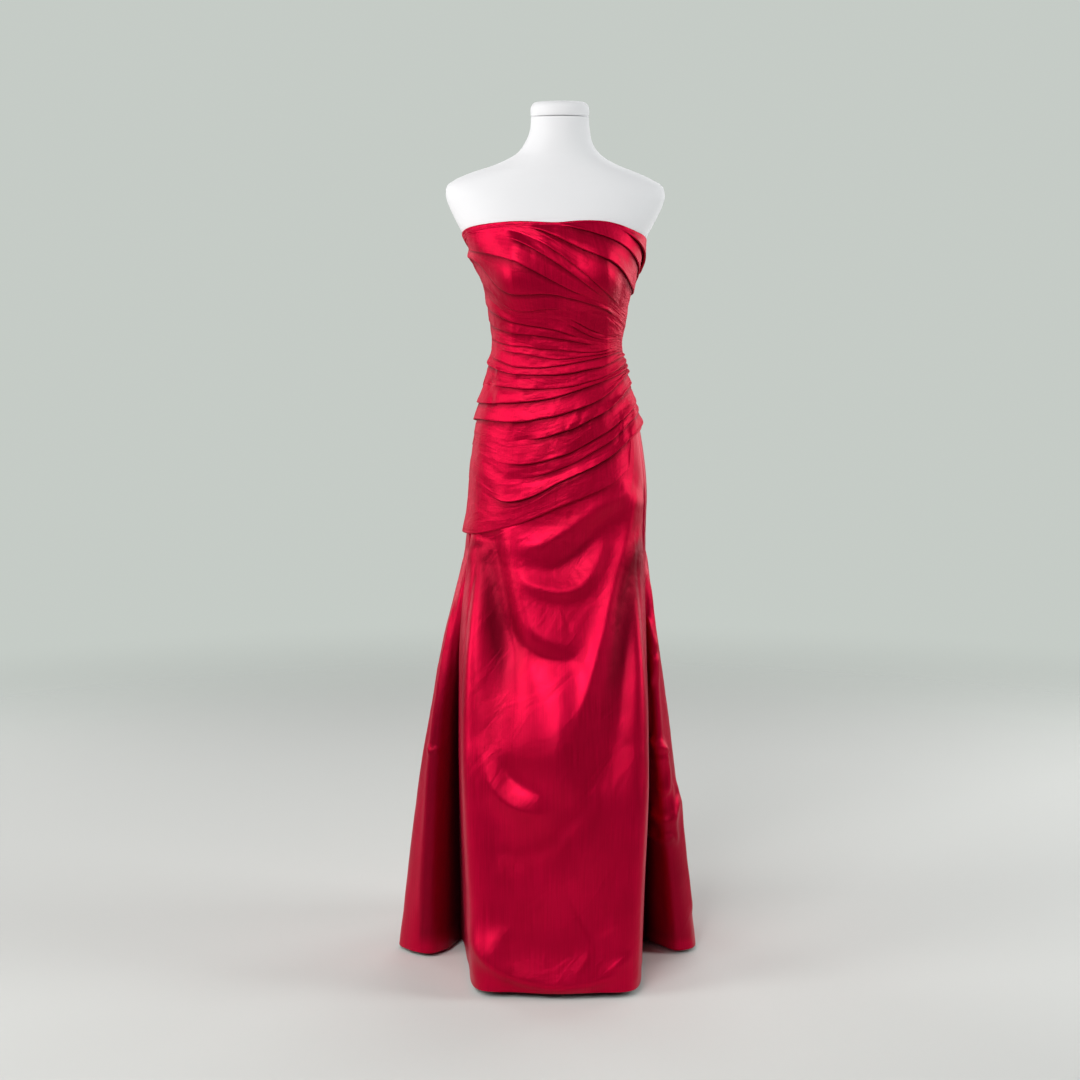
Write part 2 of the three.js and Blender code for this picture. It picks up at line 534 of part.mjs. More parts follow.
// Places round the skirt run on from rib to rib; a longer way between two ribs at the hem is
// a longer step, so that the curve through them does not swing wide.
const ribCount = ribs.length;
const ribSteps = ribs.map((rib, k) => {
  const next = ribs[(k + 1) % ribCount];
  return Math.sqrt(Math.hypot(next.hemX - rib.hemX, next.hemY - rib.hemY));
});
const ribPlaces = [0];
for (const stepLength of ribSteps) ribPlaces.push(ribPlaces[ribPlaces.length - 1] + stepLength);
const wholeRound = ribPlaces[ribCount];

function placeOfRib(k) {
  return ribPlaces[k % ribCount] + wholeRound * Math.floor(k / ribCount);
}

// Smooth value at a place, through the ribs' own values; each whole round adds turnValue.
function aroundRibs(place, value, turnValue = 0) {
  const rounds = Math.floor(place / wholeRound);
  const within = place - rounds * wholeRound;
  let i = 0;
  while (ribPlaces[i + 1] < within) i++;
  const at = (k) => value(((k % ribCount) + ribCount) % ribCount) + turnValue * Math.floor(k / ribCount);
  const width = (k) => ribSteps[((k % ribCount) + ribCount) % ribCount];
  const slope = (k) => {
    const [before, after] = [width(k - 1), width(k)];
    const rise = ((at(k) - at(k - 1)) / before) * after + ((at(k + 1) - at(k)) / after) * before;
    return rise / (before + after);
  };
  const span = width(i);
  const t = (within - ribPlaces[i]) / span;
  return hermite(t, at(i), at(i + 1), slope(i) * span, slope(i + 1) * span) + turnValue * rounds;
}

function hipAngle(place) {
  return aroundRibs(place, (k) => ribs[k].hip, 360);
}

function wrapAngle(angle) {
  return ((((angle + 180) % 360) + 360) % 360) - 180;
}

// How far a rib has moved from its hip point at a height: none at the hip, through the knee,
// to the hem, on a smooth curve that leaves the hip at LEAVE times its mean slope. Its slope
// at the knee is mostly the slope below it.
const LEAVE = 1.3;
const KNEE_BELOW = 0.6;
function ribReach(atHip, atKnee, atHem, z) {
  if (z >= HIP_HEIGHT) return 0;
  const upper = HIP_HEIGHT - KNEE_HEIGHT;
  const lower = KNEE_HEIGHT - HEM_HEIGHT;
  const [toKnee, toHem] = [atKnee - atHip, atHem - atHip];
  const hemSlope = (toHem - toKnee) / lower;
  const kneeSlope = (1 - KNEE_BELOW) * (toKnee / upper) + KNEE_BELOW * hemSlope;
  const down = HIP_HEIGHT - z;
  if (down < upper) return hermite(down / upper, 0, toKnee, LEAVE * toKnee, kneeSlope * upper);
  const t = Math.min((down - upper) / lower, 1);
  return hermite(t, toKnee, toHem, kneeSlope * lower, hemSlope * lower);
}

function hermite(t, start, end, leave, arrive) {
  const keep = (1 + 2 * t) * (1 - t) * (1 - t);
  return keep * start + (1 - keep) * end + t * (1 - t) * (1 - t) * leave + t * t * (t - 1) * arrive;
}

const ribHips = ribs.map((rib) => bodySurface(rib.hip, HIP_HEIGHT));

// Swags and edges on the front: each runs in a curve drawn towards a low point; its crest
// stands out, and falls away with a width of its own above and below. The two edges square the
// panel's corners from the hip to the knee.
const swags = [
  { fromX: -157, fromZ: 776, lowX: -162, lowZ: 560, toX: -152, toZ: 330, rise: 26, above: 30, below: 30 },
  { fromX: 152, fromZ: 780, lowX: 156, lowZ: 560, toX: 146, toZ: 330, rise: 24, above: 30, below: 30 },
  { fromX: 128, fromZ: 842, lowX: 75, lowZ: 818, toX: -20, toZ: 775, rise: 12, above: 18, below: 10 },
  { fromX: 124, fromZ: 830, lowX: 60, lowZ: 655, toX: -60, toZ: 705, rise: 13, above: 30, below: 14 },
  { fromX: 122, fromZ: 800, lowX: 40, lowZ: 465, toX: -75, toZ: 610, rise: 14, above: 34, below: 16 },
  { fromX: 133, fromZ: 800, lowX: 90, lowZ: 640, toX: 15, toZ: 395, rise: 14, above: 26, below: 26 },
  { fromX: -104, fromZ: 765, lowX: -90, lowZ: 640, toX: -40, toZ: 570, rise: 5, above: 14, below: 14 },
  { fromX: -110, fromZ: 340, lowX: -80, lowZ: 270, toX: -10, toZ: 320, rise: 8, above: 26, below: 14 },
  { fromX: -122, fromZ: 150, lowX: -70, lowZ: 5, toX: 60, toZ: 60, rise: 8, above: 30, below: 16 },
  { fromX: 128, fromZ: 440, lowX: 80, lowZ: 260, toX: -40, toZ: 90, rise: 7, above: 40, below: 40 },
];
const SWAG_STEPS = 16;
const SWAG_ENDS = { from: -0.05, full: 0.12, fading: 0.75, gone: 1.02 }; // shares of its length
const SWAG_AHEAD = 0.75; // relief lies this share straight ahead, and the rest along the normal
const SWAG_CLEAR = { none: 2, full: 10 }; // places from a seam over which relief comes in

function swagRelief(x, z) {
  let total = 0;
  for (const swag of swags) {
    let nearest = Infinity;
    let side = 1;
    let along = 0;
    for (let k = 0; k < SWAG_STEPS; k++) {
      const [a, b] = [swagPoint(swag, k / SWAG_STEPS), swagPoint(swag, (k + 1) / SWAG_STEPS)];
      const [dx, dz] = [b.x - a.x, b.z - a.z];
      const t = Math.min(Math.max(((x - a.x) * dx + (z - a.z) * dz) / (dx * dx + dz * dz), 0), 1);
      const away = Math.hypot(x - a.x - t * dx, z - a.z - t * dz);
      if (away < nearest) {
        nearest = away;
        side = (x - a.x) * dz - (z - a.z) * dx;
        along = (k + t) / SWAG_STEPS;
      }
    }
    const wide = side > 0 ? swag.above : swag.below;
    const starting = step(along, SWAG_ENDS.from, SWAG_ENDS.full);
    const ends = starting * (1 - step(along, SWAG_ENDS.fading, SWAG_ENDS.gone));
    total += swag.rise * ends * Math.exp(-((nearest / wide) ** 2));
  }
  return total;
}

function swagPoint(swag, t) {
  const [a, b, c] = [(1 - t) * (1 - t), 2 * t * (1 - t), t * t];
  return {
    x: a * swag.fromX + b * swag.lowX + c * swag.toX,
    z: a * swag.fromZ + b * swag.lowZ + c * swag.toZ,
  };
}

// The skirt's inner surface: on the body above the hip, on the ribs below it.
function skirtSurface(place, z) {
  const angle = hipAngle(place);
  if (z >= HIP_HEIGHT) return bodyPoint(angle, z, EASE);
  const point = bodyPoint(angle, HIP_HEIGHT, EASE);
  point.x += aroundRibs(place, (k) => ribReach(ribHips[k].x, ribs[k].kneeX, ribs[k].hemX, z));
  point.y += aroundRibs(place, (k) => ribReach(ribHips[k].y, ribs[k].kneeY, ribs[k].hemY, z));
  point.z = z;
  return point;
}

const HEM_TURN = { front: 50, side: 80 }; // angles between which the hem drops
function hemHeight(angle) {
  return HEM_HEIGHT + HEM_RISE * (1 - step(Math.abs(wrapAngle(angle)), HEM_TURN.front, HEM_TURN.side));
}

const TOP_SHARES = [0, 0.25, 0.5, 0.75, 1]; // rows from the skirt's top to the hip
const SKIRT_SHARES = [0.06, 0.12, 0.18, 0.25, 0.32, 0.4, 0.5, 0.62, 0.75, 0.88, 1]; // and to the hem
const SKIRT_PROBE = { place: 0.1, z: 1.5 }; // steps across and up for the direction out of the skirt
const straightAhead = new THREE.Vector3(0, -1, 0);
function skirtPiece(firstRib, lastRib, fine, swagged) {
  const places = [];
  for (let k = firstRib; k < lastRib; k++) {
    for (let j = 0; j < fine; j++) {
      places.push(placeOfRib(k) + ((placeOfRib(k + 1) - placeOfRib(k)) * j) / fine);
    }
  }
  places.push(placeOfRib(lastRib));
  const [first, last, columns] = [places[0], places[places.length - 1], places.length - 1];
  const outerRows = [];
  const innerRows = [];
  const row = (heightAt) => {
    const outer = [];
    const inner = [];
    places.forEach((place, j) => {
      const angle = wrapAngle(hipAngle(place));
      const z = heightAt(angle);
      let at = place;
      if (j === 0 || j === columns) {
        const half = SKIRT_PROBE.place / 2;
        const near = skirtSurface(place + half, z).distanceTo(skirtSurface(place - half, z));
        const speed = near / SKIRT_PROBE.place;
        at += ((j === 0 ? 1 : -1) * SEAM) / 2 / speed;
      }
      const normal = outward(skirtSurface, at, z, SKIRT_PROBE.place, SKIRT_PROBE.z);
      const point = skirtSurface(at, z);
      if (swagged && z < HIP_HEIGHT) {
        const edge = Math.min(place - first, last - place);
        const way = normal.clone().lerp(straightAhead, SWAG_AHEAD).normalize();
        const relief = swagRelief(point.x, z) * step(edge, SWAG_CLEAR.none, SWAG_CLEAR.full);
        point.addScaledVector(way, relief);
      }
      inner.push(point);
      outer.push(point.clone().addScaledVector(normal, WALL));
    });
    outerRows.push(outer);
    innerRows.push(inner);
  };
  for (const share of TOP_SHARES) {
    row((angle) => skirtTop(angle) + (HIP_HEIGHT - skirtTop(angle)) * share);
  }
  for (const share of SKIRT_SHARES) {
    row((angle) => HIP_HEIGHT + (hemHeight(angle) - HIP_HEIGHT) * share);
  }
  return wall(outerRows, innerRows);
}

const ribNumber = (name) => ribs.findIndex((rib) => rib.rib === name);
const rightValley = ribNumber('deep valley right');
const leftValley = ribNumber('deep valley left');
const rightBack = ribNumber('back valley right');
const leftBack = ribNumber('back valley left');
const zipRib = ribNumber('zip crest');
add('skirt_front', skirtPiece(rightValley, leftValley, 3, true), satin);
add('skirt_side_left', skirtPiece(leftValley, leftBack, 2, false), satin);
add('skirt_side_right', skirtPiece(rightBack, rightValley, 2, false), satin);
add('skirt_back_left', skirtPiece(leftBack, zipRib, 3, false), satin);
add('skirt_back_right', skirtPiece(zipRib, rightBack + ribCount, 3, false), satin);

export default gown;
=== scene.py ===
import bpy
import numpy as np
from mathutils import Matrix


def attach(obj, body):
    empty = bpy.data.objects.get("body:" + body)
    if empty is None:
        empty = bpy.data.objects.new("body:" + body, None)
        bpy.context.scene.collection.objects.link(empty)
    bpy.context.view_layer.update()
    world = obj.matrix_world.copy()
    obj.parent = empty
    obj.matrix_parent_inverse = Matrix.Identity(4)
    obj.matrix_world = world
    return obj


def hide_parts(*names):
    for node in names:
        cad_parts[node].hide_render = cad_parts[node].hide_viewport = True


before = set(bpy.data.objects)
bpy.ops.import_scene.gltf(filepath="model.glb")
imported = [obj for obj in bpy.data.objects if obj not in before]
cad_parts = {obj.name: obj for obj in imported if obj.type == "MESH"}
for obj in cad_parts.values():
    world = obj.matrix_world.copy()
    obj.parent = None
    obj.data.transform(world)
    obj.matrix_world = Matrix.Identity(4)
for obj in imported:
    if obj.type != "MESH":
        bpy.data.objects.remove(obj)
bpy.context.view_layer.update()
scene = bpy.context.scene

# Camera: it stands well back from the gown at the height of the form's bust, a little to the
# wearer's right, and looks level ahead and slightly down with a short telephoto lens.
camera = bpy.data.objects.new("camera", bpy.data.cameras.new("camera"))
scene.collection.objects.link(camera)
camera.location = (-0.029, -3.6, 1.25)
TILT_DOWN = 7.9
camera.rotation_euler = (np.radians(90 - TILT_DOWN), 0, 0)
camera.data.sensor_width = 36
camera.data.lens = 68.8
scene.camera = camera


# Room: a pale floor that runs out into pale air, so that the gown can be seen from all round.
# It is a flat disc on the ground whose edge thins away.
FLOOR_REACH = 3.4
FLOOR_FADE = 1.5
FLOOR_RINGS = 12
FLOOR_SPOKES = 72
FLOOR_COLOUR = (0.60, 0.61, 0.59, 1)
AIR_COLOUR = (0.56, 0.60, 0.565, 1)
AIR_LIGHT = (0.055, 0.06, 0.06, 1)


def new_material(name, settings):
    """A material whose shader has the settings: itself, its node tree and its shader."""
    made = bpy.data.materials.new(name)
    made.use_nodes = True
    shader = made.node_tree.nodes["Principled BSDF"]
    for key, value in settings.items():
        shader.inputs[key].default_value = value
    return made, made.node_tree, shader


def add_node(tree, kind, inputs=None, **settings):
    """A node of one kind, with its settings, and with numbers or links put into its sockets."""
    node = tree.nodes.new(kind)
    for key, value in settings.items():
        setattr(node, key, value)
    for key, value in (inputs or {}).items():
        if isinstance(value, bpy.types.NodeSocket):
            tree.links.new(value, node.inputs[key])
        else:
            node.inputs[key].default_value = value
    return node


def put_mesh(name, points, faces, material):
    """An object at the origin from an array of points and one or more arrays of faces."""
    mesh = bpy.data.meshes.new(name)
    sizes = np.concatenate([np.full(len(block), block.shape[1]) for block in faces])
    corners = np.concatenate([block.ravel() for block in faces])
    mesh.vertices.add(len(points))
    mesh.vertices.foreach_set("co", np.asarray(points, np.float32).ravel())
    mesh.loops.add(len(corners))
    mesh.loops.foreach_set("vertex_index", corners.astype(np.int32))
    mesh.polygons.add(len(sizes))
    mesh.polygons.foreach_set("loop_start", (np.cumsum(sizes) - sizes).astype(np.int32))
    mesh.update(calc_edges=True)
    mesh.shade_smooth()
    mesh.materials.append(material)
    made = bpy.data.objects.new(name, mesh)
    scene.collection.objects.link(made)
    return made


def grid_faces(rows, columns, close_rows=False, close_columns=False):
    """Quads between the points of a grid, row by row, as an array of corner numbers."""
    down = np.arange(rows if close_rows else rows - 1)
    across = np.arange(columns if close_columns else columns - 1)
    i, j = np.meshgrid(down, across, indexing="ij")
    row, below, right = i * columns, (i + 1) % rows * columns, (j + 1) % columns
    return np.stack([row + j, below + j, below + right, row + right], -1).reshape(-1, 4)


floor_material, tree, shader = new_material("paper_floor", {"Base Color": FLOOR_COLOUR, "Roughness": 0.9})
place = add_node(tree, "ShaderNodeTexCoord").outputs["Object"]
from_middle = add_node(tree, "ShaderNodeVectorMath", {0: place}, operation="LENGTH").outputs["Value"]
thin = add_node(tree, "ShaderNodeMapRange", {
    "Value": from_middle, "From Min": FLOOR_FADE, "From Max": FLOOR_REACH, "To Min": 1.0, "To Max": 0.0,
}, interpolation_type="SMOOTHSTEP").outputs["Result"]
tree.links.new(thin, shader.inputs["Alpha"])
spokes = np.radians(np.arange(0, 360, 360 / FLOOR_SPOKES))
radius, turn = np.meshgrid(np.linspace(0, FLOOR_REACH, FLOOR_RINGS), spokes, indexing="ij")
floor_points = np.stack([radius * np.cos(turn), radius * np.sin(turn), 0 * radius], -1).reshape(-1, 3)
floor_faces = grid_faces(FLOOR_RINGS, FLOOR_SPOKES, close_columns=True)
floor = put_mesh("floor", floor_points, [floor_faces], floor_material)

world = bpy.data.worlds.new("air")
scene.world = world
world.use_nodes = True
air = world.node_tree
seen = add_node(air, "ShaderNodeBackground", {"Color": AIR_COLOUR, "Strength": 1.0})
lit = add_node(air, "ShaderNodeBackground", {"Color": AIR_LIGHT, "Strength": 1.0})
which = add_node(air, "ShaderNodeMixShader", {
    0: add_node(air, "ShaderNodeLightPath").outputs["Is Camera Ray"],
    1: lit.outputs[0],
    2: seen.outputs[0],
})
air.links.new(which.outputs[0], air.nodes["World Output"].inputs["Surface"])
scene.view_settings.view_transform = "Standard"

# Lamps: large soft boxes. One stands at each side, one hangs high in front, a gridded one in
# front is turned down to the hem, and three weaker ones light the back.
lamps = [
    {"lamp": "side_right", "at": (-2.6, -1.1, 1.7),
     "wide": 1.2, "tall": 1.8, "watts": 46, "tint": (1, 0.98, 0.97)},
    {"lamp": "side_left", "at": (2.6, -0.4, 1.7),
     "wide": 1.0, "tall": 1.8, "watts": 40, "tint": (0.98, 1, 1)},
    {"lamp": "high_front", "at": (-1.0, -2.3, 2.7),
     "wide": 1.3, "tall": 0.9, "watts": 50, "tint": (1, 1, 1)},
    {"lamp": "low_front", "at": (-0.6, -3.0, 1.75),
     "wide": 0.9, "tall": 0.7, "watts": 0.85, "tint": (1, 1, 1), "faces": (0, -0.2, 0.1), "spread": 34},
    {"lamp": "high_back", "at": (0.4, 2.3, 3.1),
     "wide": 2.0, "tall": 1.1, "watts": 36, "tint": (1, 1, 1)},
    {"lamp": "back_right", "at": (-2.2, 1.9, 1.4),
     "wide": 1.1, "tall": 2.0, "watts": 22, "tint": (1, 1, 1)},
    {"lamp": "back_left", "at": (2.2, 1.9, 1.4),
     "wide": 1.1, "tall": 2.0, "watts": 28, "tint": (1, 1, 1)},
]
LAMPS_FACE = (0, 0, 0.85)
for row in lamps:
    light = bpy.data.lights.new(row["lamp"], "AREA")
    light.shape = "RECTANGLE"
    light.size = row["wide"]
    light.size_y = row["tall"]
    light.energy = row["watts"]
    light.color = row["tint"]
    light.spread = np.radians(row.get("spread", 180))
    lamp = bpy.data.objects.new(row["lamp"], light)
    scene.collection.objects.link(lamp)
    lamp.location = row["at"]
    lamp.visible_camera = False
    back = np.array(row["at"]) - np.array(row.get("faces", LAMPS_FACE))
    tilt, turn = np.arctan2(np.hypot(back[0], back[1]), back[2]), np.arctan2(back[0], -back[1])
    lamp.rotation_euler = (tilt, 0, turn)


# Dress form: a moulded torso under fine white jersey, with short round shoulders and a neck.
# It is one shell of rounded sections. Each row of the table is a section, in millimetres: its
# height, half its width, its depths ahead and behind, how square it is, and its middle.
MM = 0.001
body_rows = np.array([
    [712, 139, 92, 108, 2.2, 0],
    [760, 147, 97, 116, 2.2, 0],
    [820, 152, 100, 120, 2.2, 1],
    [870, 151, 100, 119, 2.2, 1],
    [930, 143, 96, 112, 2.2, 1],
    [980, 134, 90, 101, 2.2, 0],
    [1030, 122, 83, 89, 2.15, 0],
    [1092, 108, 78, 80, 2.1, 0],
    [1130, 113, 82, 84, 2.1, 2],
    [1175, 121, 94, 92, 2.2, 2],
    [1210, 131, 104, 98, 2.3, 2],
    [1245, 144, 106, 101, 2.3, 0],
    [1278, 157, 100, 101, 2.3, -2],
    [1310, 174, 90, 98, 2.2, -2],
    [1340, 187, 78, 91, 2.1, -2],
    [1354, 188, 72, 87, 2.1, -3],
    [1366, 184, 67, 83, 2, -4],
    [1377, 167, 62, 80, 2, -6],
    [1389, 139, 58, 76, 2, -5],
    [1399, 110, 55, 73, 2, -2],
    [1409, 88, 52, 70, 2, 0],
    [1420, 71, 49, 67, 2, 2],
    [1437, 58.5, 46, 62, 2, 3],
    [1458, 51.5, 44, 57, 2, 5],
    [1482, 49.5, 43, 54, 2, 5],
])
BUST = {"height": 1206, "angle": 35, "rise": 13, "wide": 17, "tall": 42}
FORM_BOTTOM = 712
FORM_ROUND = 10
SHOULDER = 1340
NECK_TOP = 1482


def curve(keys, values, at):
    """Smooth curve through values at keys: a cubic on each span, with the slopes of the chords
    between each key's neighbours. Past the ends it stays level."""
    keys, values = np.asarray(keys, float), np.asarray(values, float)
    number = np.arange(len(keys))
    before, after = np.maximum(number - 1, 0), np.minimum(number + 1, len(keys) - 1)
    slope = (values[after] - values[before]) / (keys[after] - keys[before])
    at = np.clip(at, keys[0], keys[-1])
    i = np.clip(np.searchsorted(keys, at, side="right") - 1, 0, len(keys) - 2)
    span = keys[i + 1] - keys[i]
    return hermite((at - keys[i]) / span, values[i], values[i + 1], slope[i] * span, slope[i + 1] * span)


def hermite(t, start, end, leave, arrive):
    """The cubic from start to end that has the slopes leave and arrive, at a share t."""
    keep = (1 + 2 * t) * (1 - t) ** 2
    return keep * start + (1 - keep) * end + t * (1 - t) ** 2 * leave + t * t * (t - 1) * arrive


def step(at, first, second):
    """0 before the first value, 1 after the second, smooth between."""
    t = np.clip((at - first) / (second - first), 0, 1)
    return t * t * (3 - 2 * t)


def bell(away, wide):
    """1 at the middle, falling smoothly to nothing beyond about twice the width."""
    return np.exp(-((away / wide) ** 2))


def body_surface(angle, z):
    """Body at an angle in degrees from the front and a height: the radius of a superellipse whose
    half axes follow the table, with a mound for each bust."""
    half, front, back, square, middle = (curve(body_rows[:, 0], body_rows[:, k], z) for k in range(1, 6))
    turn = np.radians(angle)
    ahead = np.cos(turn)
    depth = np.abs(ahead) / np.where(ahead > 0, front, back)
    reach = ((np.abs(np.sin(turn)) / half) ** square + depth**square) ** (-1 / square)
    high = bell(z - BUST["height"], BUST["tall"])
    for side in (-1, 1):
        reach = reach + BUST["rise"] * high * bell(angle - side * BUST["angle"], BUST["wide"])
    return np.stack([middle + reach * np.sin(turn), -reach * ahead, np.broadcast_to(z, reach.shape)], -1)


def body_point(angle, z, out):
    """The body's surface moved out along its normal: the cross product of its slopes round the
    body and up, over a degree and over two millimetres."""
    angle, z = np.broadcast_arrays(np.asarray(angle, float), np.asarray(z, float))
    along = body_surface(angle + 0.5, z) - body_surface(angle - 0.5, z)
    up = body_surface(angle, z + 1) - body_surface(angle, z - 1)
    normal = np.cross(along, up)
    normal = normal / np.linalg.norm(normal, axis=-1, keepdims=True)
    return body_surface(angle, z) + normal * np.asarray(out)[..., None]


def wrap_angle(angle):
    """The same direction between -180 and 180 degrees."""
    return (angle + 180) % 360 - 180


def closed_loft(rings):
    """Points and faces of a closed shell: rings from the top down, with a fan of triangles to a
    point in the middle of each end."""
    rows, columns = rings.shape[:2]
    points = np.concatenate([rings.reshape(-1, 3), rings[0].mean(0)[None], rings[-1].mean(0)[None]])
    j = np.arange(columns)
    turn = (j + 1) % columns
    top = np.stack([np.full(columns, rows * columns), j, turn], -1)
    last = (rows - 1) * columns
    bottom = np.stack([np.full(columns, rows * columns + 1), last + turn, last + j], -1)
    return points * MM, [grid_faces(rows, columns, close_columns=True), top, bottom]


def add_noise(tree, vector, scale=1.0, detail=2.0, distortion=0.0):
    """Soft noise over a vector: its socket from 0 to 1."""
    return add_node(tree, "ShaderNodeTexNoise", {
        "Vector": vector, "Scale": scale, "Detail": detail, "Distortion": distortion,
    }).outputs["Fac"]


def add_bump(tree, height, strength, distance, under=None):
    """A bump from a height, on top of another bump if there is one: its normal's socket."""
    inputs = {"Height": height, "Strength": strength, "Distance": distance}
    if under is not None:
        inputs["Normal"] = under
    return add_node(tree, "ShaderNodeBump", inputs).outputs["Normal"]


def add_range(tree, value, low, high):
    """A value from 0 to 1 taken to the range from low to high: its socket."""
    return add_node(tree, "ShaderNodeMapRange", {
        "Value": value, "To Min": low, "To Max": high,
    }).outputs["Result"]


def add_mix(tree, share, first, second):
    """A colour between two, by a share: its socket."""
    return add_node(tree, "ShaderNodeMix", {
        "Factor": share, "A": first, "B": second,
    }, data_type="RGBA").outputs["Result"]


jersey, tree, shader = new_material("white_jersey", {"Roughness": 0.85, "Sheen Weight": 0.15})
place = add_node(tree, "ShaderNodeTexCoord").outputs["Object"]
knit = add_noise(tree, place, scale=900.0)
soil = add_noise(tree, place, scale=7.0, detail=3.0)
tone = add_mix(tree, soil, (0.80, 0.80, 0.815, 1), (0.86, 0.86, 0.87, 1))
tree.links.new(tone, shader.inputs["Base Color"])
nap = add_bump(tree, knit, strength=0.25, distance=0.0003)
tree.links.new(nap, shader.inputs["Normal"])

form_angles = np.arange(0, 360, 2.5)
form_levels = np.concatenate([
    np.linspace(NECK_TOP - 1, SHOULDER, 60), np.linspace(SHOULDER - 4, FORM_BOTTOM + FORM_ROUND, 80),
])
form_rings = [body_point(wrap_angle(form_angles), z, 0.0 * form_angles) for z in form_levels]
for turn in np.radians([25, 50, 75, 90]):
    inset = FORM_ROUND * (1 - np.cos(turn))
    ring = body_point(wrap_angle(form_angles), FORM_BOTTOM + FORM_ROUND, -inset + 0 * form_angles)
    ring[:, 2] = FORM_BOTTOM + FORM_ROUND - FORM_ROUND * np.sin(turn)
    form_rings.append(ring)
form_torso = put_mesh("dress_form_torso", *closed_loft(np.array(form_rings)), jersey)
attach(form_torso, "gown_on_form")
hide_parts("form_torso")

# Neck cap: a padded disc under the same jersey that closes the neck, with a soft round rim
# that stands a little proud of the neck.
CAP_HEIGHT = 25
CAP_EDGE = 13
CAP_PROUD = 0.8
CAP_DOME = 0.9
cap_side = [(9, 0.9), (6, 0.8), (3.5, 0.5), (1.5, 0.1), (0.3, -0.4)]  # height, and how far proud
cap_rings = []
for turn in np.radians([0, 15, 30, 45, 60, 75, 90]):
    inset = CAP_EDGE * (1 - np.sin(turn)) - CAP_PROUD
    ring = body_point(wrap_angle(form_angles), NECK_TOP, -inset + 0 * form_angles)
    ring[:, 2] = NECK_TOP + CAP_HEIGHT - CAP_EDGE * (1 - np.cos(turn))
    cap_rings.append(ring)
for height, proud in cap_side:
    ring = body_point(wrap_angle(form_angles), NECK_TOP, proud + 0 * form_angles)
    ring[:, 2] = NECK_TOP + height
    cap_rings.append(ring)
middle = cap_rings[0].mean(0)
cap_top = [
    middle + (cap_rings[0] - middle) * share + [0, 0, CAP_DOME * (1 - share**2)]
    for share in (0.25, 0.5, 0.75)
]
neck_cap = put_mesh("dress_form_cap", *closed_loft(np.array(cap_top + cap_rings)), jersey)
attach(neck_cap, "gown_on_form")
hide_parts("form_neck_cap")

# Stand: a turned steel plate on the floor with a socket, and a tube up into the torso. Both
# are the CAD solids, brushed round their axis.
steel, tree, shader = new_material("brushed_steel", {"Base Color": (0.55, 0.56, 0.57, 1), "Metallic": 1.0})
place = add_node(tree, "ShaderNodeTexCoord").outputs["Object"]
grain_way = add_node(tree, "ShaderNodeMapping", {"Vector": place, "Scale": (60.0, 60.0, 900.0)})
grain = add_noise(tree, grain_way.outputs["Vector"], detail=3.0)
tree.links.new(add_range(tree, grain, 0.28, 0.46), shader.inputs["Roughness"])
scratch = add_bump(tree, grain, strength=0.15, distance=0.0001)
tree.links.new(scratch, shader.inputs["Normal"])
for name in ("stand_base", "stand_pole"):
    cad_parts[name].data.materials.clear()
    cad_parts[name].data.materials.append(steel)

